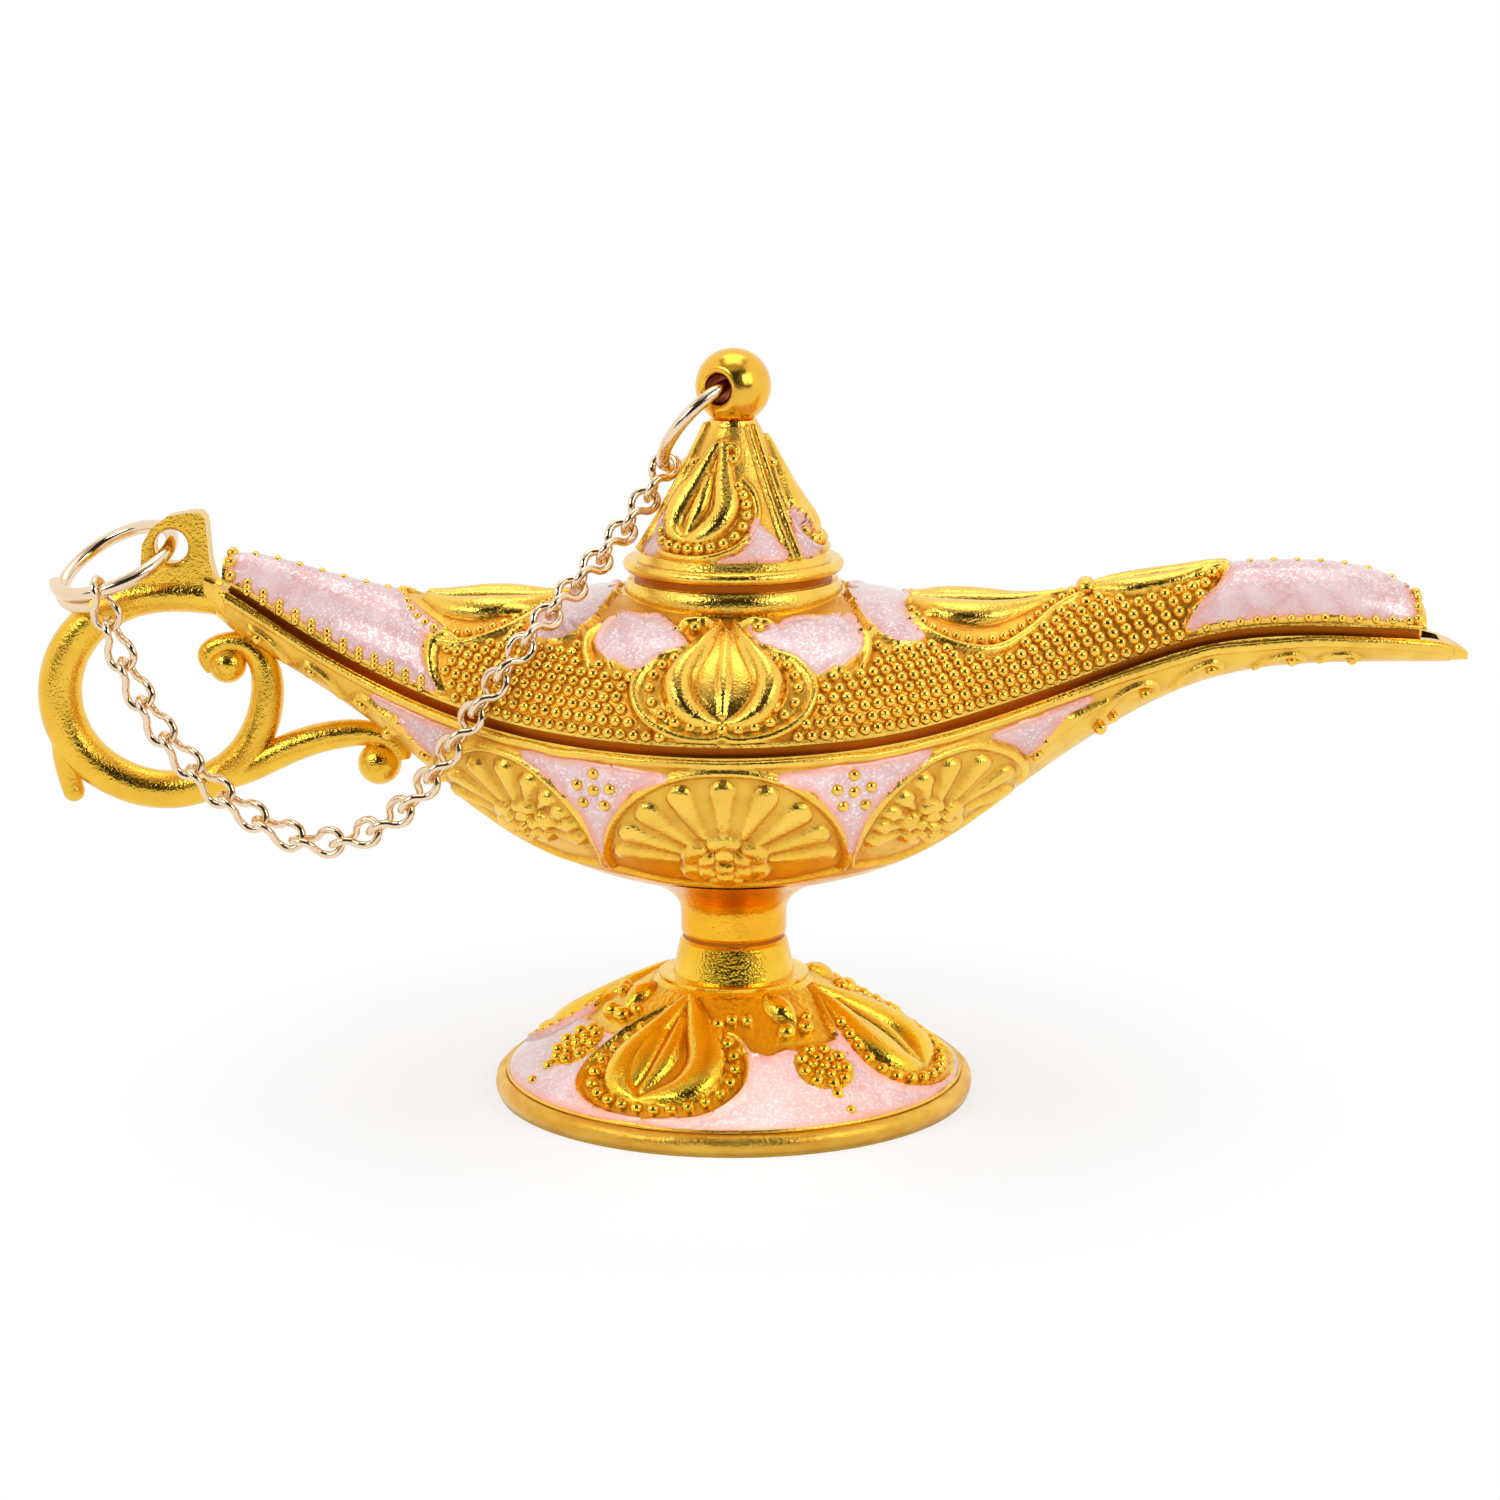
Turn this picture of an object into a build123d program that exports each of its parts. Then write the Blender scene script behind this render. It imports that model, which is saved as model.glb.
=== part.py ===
from build123d import *
import os
from math import atan, atan2, cos, degrees, sin, radians

os.makedirs("parts", exist_ok=True)

# Genie oil lamp. Millimetres. +X is the spout, -X the handle, -Y the side in the photograph,
# +Z up, and the origin is the centre of the foot's underside.

# Foot
FOOT_D = 43.6
FOOT_RIM_H = 1.8
FOOT_RIM_W = 1.7
FOOT_FLANGE_Z = 11.2
FOOT_FLANGE_R = 6.9
FOOT_COLLAR_R = 5.6
FOOT_JOINT_R = 4.95
FOOT_H = 14.6
FOOT_BOSS_Z = 8.6

# Screw that holds the foot, and its washer
SCREW_D = 4.0
SCREW_HOLE_D = 4.4
SCREW_HEAD_D = 7.2
SCREW_HEAD_H = 2.4
SCREW_REACH = 4.4
SLOT_W = 1.0
SLOT_DEPTH = 1.1
WASHER_D = 8.4
WASHER_T = 0.8

# Bowl and its neck
NECK_R = 4.85
NECK_SPIGOT_R = 3.4
NECK_SPIGOT_H = 1.2
BOWL_WALL = 1.5
RIM_LAND = 1.05
RABBET_DEPTH = 1.9

# Stations along the bowl, rear to spout: place on X, half width, then the height over the
# foot joint of the rim, of the keel under it and of the ridge of the top shell above it.
STATIONS = [
    (-48.0, 1.9, 33.0, 30.2, 35.0),
    (-41.0, 3.0, 29.0, 25.1, 34.3),
    (-34.0, 5.0, 25.3, 20.6, 32.4),
    (-26.0, 8.9, 22.6, 14.3, 31.0),
    (-18.0, 14.3, 21.4, 8.8, 31.1),
    (-9.0, 19.2, 21.1, 5.7, 32.4),
    (0.0, 20.8, 21.0, 4.8, 32.8),
    (9.0, 19.2, 21.2, 5.7, 32.4),
    (18.0, 14.2, 21.8, 8.8, 31.1),
    (26.0, 8.9, 23.3, 14.5, 31.1),
    (34.0, 5.9, 25.7, 20.1, 32.8),
    (43.0, 4.8, 28.4, 24.5, 34.5),
    (52.0, 4.7, 29.2, 26.0, 34.9),
    (59.0, 3.9, 28.9, 26.2, 33.6),
    (63.5, 2.4, 28.3, 26.2, 30.0),
    (66.2, 0.5, 27.0, 26.3, 29.0),
]

# Top shell: stands over the bowl's rim on a skirt, so a dark groove runs round the lamp
SHELL_GROOVE = 0.85
SHELL_INSET = 0.4
SHELL_WALL = 1.3
SKIRT_T = 0.8
SEAT_GAP = 0.1
SHELL_REAR_X = -46.3
SHELL_FRONT_X = 62.2

# Raised buds of the cast relief: half length, half width and height of one lobe. The foot has its
# buds round it; the shell has one under the mouth on each side, two along its ridge, and a leaf.
FOOT_BUD_TURNS = [-20.0, 78.0, 160.0, 242.0]
FOOT_BUD_R = 14.1
FOOT_BUD_SPREAD = 11.5
FOOT_LOBE = (5.2, 1.45, 1.1)
MOUTH_LOBE = (4.6, 1.25, 1.25)
MOUTH_LOBE_X = 2.95
MOUTH_LOBE_GIRTH = 6.9
MOUTH_LOBE_LEAN = 22.0
RIDGE_LOBE = (4.6, 1.45, 1.05)
RIDGE_LOBE_BELOW = 3.3
RIDGE_BUDS = [-22.0, 21.6]
RIDGE_KEEL = (5.6, 0.8, 0.85)
LEAF_LOBE = (5.0, 0.95, 0.85)
LEAF_X = 38.4
LEAF_BELOW = 1.5

# Mouth, collar and lid: the collar's height is over the foot joint, the lid's over the collar
MOUTH_R = 7.6
COLLAR_R = 9.9
COLLAR_Z = FOOT_H + 33.3
COLLAR_H = 2.2
LID_R = 10.0
LID_SEAT_R = 8.9
LID_SEAT_H = 0.8
LID_RIM_H = 1.1
LID_SPIGOT_GAP = 0.3
LID_SPIGOT_H = 3.2
LID_SPIGOT_T = 1.0
LID_TOP_Z = COLLAR_Z + 14.4
LID_TOP_R = 2.1

# Ball on the lid
BALL_D = 6.84
BALL_Z = LID_TOP_Z + 2.95
BALL_HOLE_D = 2.6
BALL_HOLE_EASE = 0.5
BALL_YAW = 29.0
BALL_PIN_R = 1.0
BALL_PIN_L = 2.6

# Handle
EAR_T = 2.4
EAR_HOLE_D = 3.1
EAR_HOLE_EASE = 0.4
EAR_X = -51.0
EAR_Z = FOOT_H + 35.9

# Jump rings: mean radius, wire, and how each one hangs in its hole
LID_RING_R = 5.2
LID_RING_WIRE = 1.2
LID_RING_LEAN = 38.0
LID_RING_RISE = 0.48
LID_RING_GAP = 0.7
HANDLE_RING_R = 5.7
HANDLE_RING_WIRE = 1.25
HANDLE_RING_DIP = 22.0
HANDLE_RING_FALL = 20.2
HANDLE_RING_DROP = 0.15
HANDLE_RING_LAP = 30.0
HANDLE_RING_SPREAD = 3.5

# Chain of twisted links
LINK_COUNT = 22
LINK_WIRE = 0.7
LINK_WIDTH = 2.95
LINK_TWIST = 40.0
LINK_PLAY = 0.16
RING_PLAY = 0.2
# Places that the chain passes on its way from the handle ring to the lid ring, with heights
# over the foot joint: it hangs in a bight, comes up over the rim and lies on the shell.
ROUTE = [
    (-55.3, -4.8, 27.0), (-52.4, -5.7, 21.2), (-48.0, -6.8, 16.0), (-42.4, -8.1, 12.1),
    (-37.0, -9.3, 10.3), (-31.6, -10.5, 12.0), (-27.4, -11.6, 15.6), (-24.3, -12.6, 20.2),
    (-21.4, -13.3, 24.4), (-18.3, -12.9, 28.7), (-14.4, -8.6, 33.0), (-10.0, -3.4, 37.6),
]


def upright(x):
    return Plane(origin=(x, 0, 0), x_dir=(0, 1, 0), z_dir=(1, 0, 0))


def bowl_face(x, half, top, bottom):
    # One slice of a bowl: a round-bottomed U closed by a straight deck.
    drop = top - bottom
    right = Bezier((half, top), (half, top - 0.56 * drop), (0.56 * half, bottom), (0, bottom))
    left = Bezier((0, bottom), (-0.56 * half, bottom), (-half, top - 0.56 * drop), (-half, top))
    return upright(x) * make_face([right, left, Line((-half, top), (half, top))])


def arch_face(x, half, base, top):
    # One slice of the shell: an arch on a straight floor.
    rise = top - base
    right = Bezier((half, base), (half, base + 0.5 * rise), (0.58 * half, top), (0, top))
    left = Bezier((0, top), (-0.58 * half, top), (-half, base + 0.5 * rise), (-half, base))
    return upright(x) * make_face([right, left, Line((-half, base), (half, base))])


def block_face(x, half, low, high):
    return upright(x) * make_face(Polyline((-half, low), (half, low), (half, high), (-half, high), close=True))


def between(x, column):
    # Height or half width at any place on X, taken straight between two stations.
    for a, b in zip(STATIONS, STATIONS[1:]):
        if a[0] <= x <= b[0]:
            share = (x - a[0]) / (b[0] - a[0])
            return a[column] + share * (b[column] - a[column])


def rim_at(x):
    return FOOT_H + between(x, 2)


def keel_at(x):
    return FOOT_H + between(x, 3)


def ridge_at(x):
    return FOOT_H + between(x, 4)


def on_shell(x, girth, from_ridge=False):
    # A place on the front of the shell and the way out of it there, found by walking up the arch.
    def arch_spot(x, t):
        half = between(x, 1) - SHELL_INSET
        base = rim_at(x) + SHELL_GROOVE
        rise = ridge_at(x) - base
        y = half * (1 - t) ** 3 + half * 3 * t * (1 - t) ** 2 + 0.58 * half * 3 * t * t * (1 - t)
        z = base + 0.5 * rise * 3 * t * (1 - t) ** 2 + rise * (3 * t * t * (1 - t) + t ** 3)
        return Vector(x, -y, z)

    steps = [arch_spot(x, k / 200) for k in range(201)]
    runs = [0.0]
    for a, b in zip(steps, steps[1:]):
        runs.append(runs[-1] + (b - a).length)
    wanted = runs[-1] - girth if from_ridge else girth
    k = min(range(201), key=lambda i: abs(runs[i] - wanted))
    t = min(max(k / 200, 0.02), 0.98)
    rise = arch_spot(x, t + 0.02) - arch_spot(x, t - 0.02)
    run = arch_spot(x + 0.5, t) - arch_spot(x - 0.5, t)
    out = run.cross(rise).normalized()
    return steps[k], run.normalized(), rise.normalized(), out


def lobe(spot, along, out, size):
    # One swelling of the relief, half sunk in the casting.
    return Plane(origin=spot, x_dir=along, z_dir=out) * scale(Sphere(1), by=size)


def spin(points):
    return revolve(Plane.XZ * make_face(Polyline(*points, close=True)), Axis.Z)


# Foot: a hollow flared casting with a collar that meets the neck.
foot_r = FOOT_D / 2
foot_outline = [
    (SCREW_HOLE_D / 2, FOOT_BOSS_Z),
    (FOOT_FLANGE_R + 1.7, FOOT_BOSS_Z),
    (foot_r - FOOT_RIM_W - 0.2, FOOT_RIM_H),
    (foot_r - FOOT_RIM_W, 0),
    (foot_r, 0),
    (foot_r, FOOT_RIM_H - 0.2),
    (foot_r - 0.3, FOOT_RIM_H),
    (foot_r - 0.7, FOOT_RIM_H),
    (FOOT_FLANGE_R + 0.2, FOOT_FLANGE_Z - 0.6),
    (FOOT_FLANGE_R, FOOT_FLANGE_Z - 0.4),
    (FOOT_FLANGE_R, FOOT_FLANGE_Z - 0.1),
    (FOOT_FLANGE_R - 0.3, FOOT_FLANGE_Z),
    (FOOT_COLLAR_R, FOOT_FLANGE_Z),
    (FOOT_JOINT_R, FOOT_H - 0.4),
    (FOOT_JOINT_R - 0.4, FOOT_H),
    (NECK_SPIGOT_R + 0.05, FOOT_H),
    (NECK_SPIGOT_R + 0.05, FOOT_H - NECK_SPIGOT_H - SEAT_GAP),
    (SCREW_HOLE_D / 2, FOOT_H - NECK_SPIGOT_H - SEAT_GAP),
]
foot = spin(foot_outline)
cone_run = foot_r - 0.9 - FOOT_FLANGE_R
cone_drop = FOOT_FLANGE_Z - 0.6 - FOOT_RIM_H
cone_tilt = atan2(cone_drop, cone_run)
foot_hollow = spin([
    (0, -1.0),
    (foot_r - FOOT_RIM_W, -1.0),
    (foot_r - FOOT_RIM_W, 0),
    (foot_r - FOOT_RIM_W - 0.2, FOOT_RIM_H),
    (FOOT_FLANGE_R + 1.7, FOOT_BOSS_Z),
    (0, FOOT_BOSS_Z),
])
for bud_turn in FOOT_BUD_TURNS:
    for side in (-1, 1):
        turn = radians(bud_turn + side * FOOT_BUD_SPREAD)
        spot_z = FOOT_FLANGE_Z - 0.6 - (FOOT_BUD_R - FOOT_FLANGE_R - 0.2) * cone_drop / cone_run
        spot = Vector(FOOT_BUD_R * sin(turn), -FOOT_BUD_R * cos(turn), spot_z)
        down = Vector(cos(cone_tilt) * sin(turn), -cos(cone_tilt) * cos(turn), -sin(cone_tilt))
        across = Vector(cos(turn), sin(turn), 0)
        out = Vector(sin(cone_tilt) * sin(turn), -sin(cone_tilt) * cos(turn), cos(cone_tilt))
        lean = radians(-5.0 * side)
        foot += lobe(spot, down * cos(lean) + across * sin(lean), out, FOOT_LOBE) - foot_hollow

# Washer and slotted screw, under the boss of the foot.
washer_z = FOOT_BOSS_Z - WASHER_T
washer = Pos(0, 0, washer_z) * extrude(Circle(WASHER_D / 2) - Circle(SCREW_HOLE_D / 2), WASHER_T)
screw_top = FOOT_H + SCREW_REACH
head_z = washer_z - SCREW_HEAD_H
screw_head = spin([
    (0, head_z),
    (SCREW_HEAD_D / 2 - 0.9, head_z),
    (SCREW_HEAD_D / 2, head_z + 0.9),
    (SCREW_HEAD_D / 2, washer_z),
    (0, washer_z),
])
screw_shank = spin([
    (0, washer_z - 0.5),
    (SCREW_D / 2, washer_z - 0.5),
    (SCREW_D / 2, screw_top - 0.5),
    (SCREW_D / 2 - 0.5, screw_top),
    (0, screw_top),
])
slot = Pos(0, 0, head_z) * Box(SCREW_HEAD_D + 1, SLOT_W, 2 * SLOT_DEPTH)
foot_screw = screw_head + screw_shank - slot

# Bowl: a loft through the stations, hollowed, with a rabbet for the shell and a neck below.
bowl_skin = loft([bowl_face(x, half, FOOT_H + rim, FOOT_H + keel) for x, half, rim, keel, ridge in STATIONS])
keel_z = keel_at(0)
neck_side = Bezier((NECK_R, FOOT_H + 2.2), (NECK_R, FOOT_H + 4.0), (6.4, keel_z + 0.2), (10.6, keel_z + 2.0))
neck_face = make_face([
    Line((0, FOOT_H), (FOOT_JOINT_R - 0.4, FOOT_H)),
    Line((FOOT_JOINT_R - 0.4, FOOT_H), (NECK_R, FOOT_H + 0.5)),
    Line((NECK_R, FOOT_H + 0.5), (NECK_R, FOOT_H + 2.2)),
    neck_side,
    Line((10.6, keel_z + 2.0), (0, keel_z + 2.0)),
    Line((0, keel_z + 2.0), (0, FOOT_H)),
])
neck = revolve(Plane.XZ * neck_face, Axis.Z)
spigot = Pos(0, 0, FOOT_H - NECK_SPIGOT_H) * extrude(Circle(NECK_SPIGOT_R), NECK_SPIGOT_H + 0.5)

floor_land = RIM_LAND + SKIRT_T + SEAT_GAP


def rabbet_floor(x):
    return rim_at(x) - min(RABBET_DEPTH, 0.6 * (rim_at(x) - keel_at(x)))


deep = [s for s in STATIONS if s[1] > floor_land + 0.8 and s[2] - s[3] > 3.6]
cavity = loft([
    bowl_face(x, half - floor_land, FOOT_H + rim - RABBET_DEPTH + 0.7, FOOT_H + keel + BOWL_WALL)
    for x, half, rim, keel, ridge in deep
])
rabbet_x = [SHELL_REAR_X + 0.4] + [s[0] for s in STATIONS[1:-1]]
rabbet = loft([
    block_face(x, between(x, 1) - RIM_LAND, rabbet_floor(x), rim_at(x) + 2.0) for x in rabbet_x
])
screw_hole = Pos(0, 0, FOOT_H - NECK_SPIGOT_H) * extrude(Circle(SCREW_D / 2 + 0.02), NECK_SPIGOT_H + SCREW_REACH + 0.4)
lower_body = bowl_skin + neck + spigot - rabbet - cavity - screw_hole

# Top shell: an arched loft over the rim, a skirt that drops into the rabbet, and the collar.
shell_x = [SHELL_REAR_X] + [s[0] for s in STATIONS[1:-2]] + [SHELL_FRONT_X]
shell_skin = loft([
    arch_face(x, between(x, 1) - SHELL_INSET, rim_at(x) + SHELL_GROOVE, ridge_at(x)) for x in shell_x
])
skirt_x = [SHELL_REAR_X + 0.6] + [s[0] for s in STATIONS[1:-2]] + [SHELL_FRONT_X - 0.4]
skirt = loft([
    block_face(x, between(x, 1) - RIM_LAND - SEAT_GAP, rabbet_floor(x) + SEAT_GAP, rim_at(x) + SHELL_GROOVE + 0.4)
    for x in skirt_x
])
shell_lobes = []
for side in (-1, 1):
    spot, run, rise, out = on_shell(side * MOUTH_LOBE_X, MOUTH_LOBE_GIRTH)
    lean = radians(MOUTH_LOBE_LEAN)
    shell_lobes.append(lobe(spot, rise * cos(lean) - run * (side * sin(lean)), out, MOUTH_LOBE))
for x in RIDGE_BUDS:
    spot, run, rise, out = on_shell(x, RIDGE_LOBE_BELOW, from_ridge=True)
    shell_lobes.append(lobe(spot, run, out, RIDGE_LOBE))
spot, run, rise, out = on_shell(LEAF_X, LEAF_BELOW, from_ridge=True)
shell_lobes.append(lobe(spot, run, out, LEAF_LOBE))
shell_lobes += [mirror(swelling, about=Plane.XZ) for swelling in shell_lobes]
for x in RIDGE_BUDS:
    climb = Vector(4.0, 0, ridge_at(x + 2) - ridge_at(x - 2)).normalized()
    shell_lobes.append(lobe(Vector(x, 0, ridge_at(x)), climb, Vector(-climb.Z, 0, climb.X), RIDGE_KEEL))
for swelling in shell_lobes:
    shell_skin += swelling
hollow_x = [s[0] for s in STATIONS if s[1] > floor_land + 0.8 and s[0] < SHELL_FRONT_X] + [SHELL_FRONT_X + 1.0]


def hollow_half(x):
    return max(between(x, 1) - floor_land, 0.8)


under_arch = loft([
    arch_face(
        x,
        hollow_half(x),
        rim_at(x) - 0.4,
        max(ridge_at(x) - SHELL_WALL, rim_at(x) + SHELL_GROOVE + 0.6),
    )
    for x in hollow_x
])
under_skirt = loft([block_face(x, hollow_half(x), rim_at(x) - 4.0, rim_at(x) + 0.4) for x in hollow_x])
collar_low = COLLAR_Z - COLLAR_H
collar = revolve(
    Plane.XZ * make_face([
        Line((MOUTH_R - 0.5, collar_low - 2.0), (COLLAR_R - 0.6, collar_low - 2.0)),
        Line((COLLAR_R - 0.6, collar_low - 2.0), (COLLAR_R - 0.3, collar_low)),
        ThreePointArc((COLLAR_R - 0.3, collar_low), (COLLAR_R, collar_low + 0.5 * COLLAR_H), (COLLAR_R - 0.4, COLLAR_Z)),
        Line((COLLAR_R - 0.4, COLLAR_Z), (MOUTH_R - 0.5, COLLAR_Z)),
        Line((MOUTH_R - 0.5, COLLAR_Z), (MOUTH_R - 0.5, collar_low - 2.0)),
    ]),
    Axis.Z,
)
mouth = Pos(0, 0, collar_low - 8.0) * Cylinder(MOUTH_R, 16.0, align=(Align.CENTER, Align.CENTER, Align.MIN))
above_collar = Pos(0, 0, COLLAR_Z) * Cylinder(COLLAR_R + 0.5, 4.0, align=(Align.CENTER, Align.CENTER, Align.MIN))
top_shell = shell_skin + skirt - under_arch - under_skirt + collar - mouth - above_collar

# Lid: hollow cone with a rolled rim, a seat that rests on the collar and a spigot in the mouth.
seat_z = COLLAR_Z
rim_z = seat_z + LID_SEAT_H
spigot_r = MOUTH_R - LID_SPIGOT_GAP
cone_z = rim_z + LID_RIM_H
cone_r = LID_R - 1.4
mid_z = 0.5 * (cone_z + LID_TOP_Z)
mid_r = 0.5 * (cone_r + LID_TOP_R) - 0.25
lid = revolve(
    Plane.XZ * make_face([
        Line((spigot_r - LID_SPIGOT_T, seat_z - LID_SPIGOT_H), (spigot_r - 0.4, seat_z - LID_SPIGOT_H)),
        Line((spigot_r - 0.4, seat_z - LID_SPIGOT_H), (spigot_r, seat_z - LID_SPIGOT_H + 0.4)),
        Line((spigot_r, seat_z - LID_SPIGOT_H + 0.4), (spigot_r, seat_z)),
        Line((spigot_r, seat_z), (LID_SEAT_R, seat_z)),
        Line((LID_SEAT_R, seat_z), (LID_SEAT_R, rim_z)),
        Line((LID_SEAT_R, rim_z), (LID_R - 0.4, rim_z)),
        ThreePointArc((LID_R - 0.4, rim_z), (LID_R, rim_z + 0.5 * LID_RIM_H), (LID_R - 0.4, cone_z)),
        Line((LID_R - 0.4, cone_z), (cone_r + 0.3, cone_z)),
        Line((cone_r + 0.3, cone_z), (cone_r, cone_z + 0.5)),
        ThreePointArc((cone_r, cone_z + 0.5), (mid_r, mid_z), (LID_TOP_R, LID_TOP_Z)),
        Line((LID_TOP_R, LID_TOP_Z), (BALL_PIN_R + 0.02, LID_TOP_Z)),
        Line((BALL_PIN_R + 0.02, LID_TOP_Z), (BALL_PIN_R + 0.02, LID_TOP_Z - 3.6)),
        Line((BALL_PIN_R + 0.02, LID_TOP_Z - 3.6), (spigot_r - LID_SPIGOT_T, seat_z + 1.2)),
        Line((spigot_r - LID_SPIGOT_T, seat_z + 1.2), (spigot_r - LID_SPIGOT_T, seat_z - LID_SPIGOT_H)),
    ]),
    Axis.Z,
)

# Finial: a ball drilled for the jump ring, cut flat below and pinned into the lid.
yaw = radians(BALL_YAW)
hole_dir = (-sin(yaw), -cos(yaw), 0)
ball = Pos(0, 0, BALL_Z) * Sphere(BALL_D / 2)
ball -= Pos(0, 0, LID_TOP_Z) * Cylinder(BALL_D, BALL_D, align=(Align.CENTER, Align.CENTER, Align.MAX))
ball += Pos(0, 0, LID_TOP_Z - BALL_PIN_L) * extrude(Circle(BALL_PIN_R), BALL_PIN_L + 1.0)
hole_plane = Plane(origin=(0, 0, BALL_Z), z_dir=hole_dir)
ball -= hole_plane * Cylinder(BALL_HOLE_D / 2, 2 * BALL_D)
hole_rims = [e for e in ball.edges() if abs(e.center().Z - BALL_Z) < 0.6 and e.length < BALL_HOLE_D * 3.4]
finial = fillet(hole_rims, BALL_HOLE_EASE)

# Handle: cast rods that taper along their run, two scroll balls, a spur and the ear.
def rod(path, radii):
    # Rings of the stated radii, square to the path and evenly spaced along it.
    slices = []
    for i, radius in enumerate(radii):
        share = i / (len(radii) - 1)
        slices.append(Plane(origin=path @ share, z_dir=path % share, x_dir=(0, 1, 0)) * Circle(radius))
    return loft(slices)


def side(points):
    # Places in the middle plane, with heights over the foot joint.
    return [(x, 0, FOOT_H + z) for x, z in points]


loop_path = Spline(*side([
    (-46.7, 31.1), (-49.6, 31.4), (-52.8, 31.3), (-56.5, 30.2), (-59.6, 27.8), (-61.5, 24.4), (-61.8, 21.0),
    (-60.4, 17.2), (-57.0, 14.3), (-52.3, 13.1), (-47.6, 14.3), (-44.3, 17.4), (-42.8, 21.4), (-42.8, 24.2),
    (-43.9, 26.3), (-45.8, 26.9), (-47.3, 25.9), (-47.4, 24.4),
]))
loop_rod = rod(loop_path, [
    1.7, 1.7, 1.7, 1.75, 1.85, 1.95, 2.0, 2.0, 1.95, 1.85, 1.8, 1.75, 1.7, 1.65, 1.6, 1.5, 1.3, 1.05, 0.9,
])
scroll_path = Spline(*side([
    (-47.6, 14.3), (-44.0, 15.5), (-41.4, 16.8), (-38.6, 17.9), (-35.6, 18.5), (-33.0, 18.5), (-31.2, 17.6),
    (-30.5, 16.2),
]))
scroll_rod = rod(scroll_path, [1.3, 1.35, 1.4, 1.4, 1.35, 1.25, 1.1, 0.9])
spur_path = Spline(*side([(-61.1, 19.0), (-61.4, 15.8), (-60.9, 12.9)]))
spur = rod(spur_path, [1.7, 1.4, 1.15, 1.0])
spur += Pos(-60.9, 0, FOOT_H + 12.9) * Sphere(1.02)
upper_ball = Pos(-46.3, 0, FOOT_H + 24.9) * Sphere(1.75)
lower_ball = Pos(-32.5, 0, FOOT_H + 15.8) * Sphere(2.0)
arm_z = FOOT_H + 31.4
ear_outline = [
    (EAR_X - 3.1, arm_z), (EAR_X - 2.6, EAR_Z + 0.2), (EAR_X - 1.7, EAR_Z + 1.7), (EAR_X - 0.3, EAR_Z + 2.7),
    (EAR_X + 1.6, EAR_Z + 3.1), (EAR_X + 2.7, EAR_Z + 3.1), (EAR_X + 3.2, EAR_Z + 2.5), (EAR_X + 3.5, EAR_Z - 1.4),
    (EAR_X + 4.3, arm_z),
]
ear_face = Plane.XZ * make_face(Polyline(*ear_outline, close=True))
ear = extrude(ear_face, EAR_T / 2, both=True)
ear -= Pos(EAR_X, 0, EAR_Z) * Rot(90, 0, 0) * Cylinder(EAR_HOLE_D / 2, 2 * EAR_T)
ear = fillet(ear.edges().filter_by(GeomType.CIRCLE), EAR_HOLE_EASE)
handle = loop_rod + scroll_rod + spur + upper_ball + lower_ball + ear - bowl_skin


# Jump rings: each is two half turns of wire that part at the split and meet opposite it.
def ring_point(near, radius, along, away, angle):
    return near + away * (radius * (1 - cos(angle))) + along * (radius * sin(angle))


def half_turn(radius, wire, sweep, spread, way):
    start = Plane(origin=(-radius, 0, 0), z_dir=(0, -way, 0)) * Circle(wire / 2)
    turn = revolve(start, Axis((0, 0, 0), (0, 0, way)), sweep)
    return Pos(-radius, 0, 0) * Rot(0, way * spread, 0) * Pos(radius, 0, 0) * turn


def open_ring(near, radius, wire, along, away, split, lap, spread):
    middle = near + away * radius
    toward = (ring_point(near, radius, along, away, radians(split)) - middle).normalized()
    place = Plane(origin=middle, x_dir=toward, z_dir=along.cross(away))
    both = half_turn(radius, wire, 180 + lap, spread, 1) + half_turn(radius, wire, 180 + lap, spread, -1)
    return place * both


ball_middle = Vector(0, 0, BALL_Z)
lean = radians(LID_RING_LEAN)
lid_along = Vector(*hole_dir)
lid_away = Vector(-cos(yaw) * sin(lean), sin(yaw) * sin(lean), -cos(lean))
lid_near = ball_middle - lid_away * LID_RING_RISE
lid_ring = open_ring(lid_near, LID_RING_R, LID_RING_WIRE, lid_along, lid_away, 250.0, -LID_RING_GAP, 0.0)

ear_middle = Vector(EAR_X, 0, EAR_Z)
dip = radians(HANDLE_RING_DIP)
handle_along = Vector(0, -cos(dip), -sin(dip))
fall = radians(HANDLE_RING_FALL)
handle_away = Vector(-cos(fall), sin(fall) * sin(dip), -sin(fall) * cos(dip))
handle_near = ear_middle + handle_away * HANDLE_RING_DROP
split_angle = 135.0
handle_ring = open_ring(
    handle_near, HANDLE_RING_R, HANDLE_RING_WIRE, handle_along, handle_away,
    split_angle, HANDLE_RING_LAP, HANDLE_RING_SPREAD,
)

# Where the end links hang: the middle of the wire of each ring, and the way the wire runs there.
lid_hang = radians(152.0)
lid_hook = ring_point(lid_near, LID_RING_R, lid_along, lid_away, lid_hang)
lid_wire_way = (lid_away * sin(lid_hang) + lid_along * cos(lid_hang)).normalized()
handle_hang = radians(92.0)
spread_rise = HANDLE_RING_R * (1 + cos(radians(split_angle) - handle_hang)) * sin(radians(HANDLE_RING_SPREAD))
ring_face_way = handle_along.cross(handle_away).normalized()
handle_hook = ring_point(handle_near, HANDLE_RING_R, handle_along, handle_away, handle_hang)
handle_hook = handle_hook - ring_face_way * spread_rise
handle_wire_way = (handle_away * sin(handle_hang) + handle_along * cos(handle_hang)).normalized()

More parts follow.
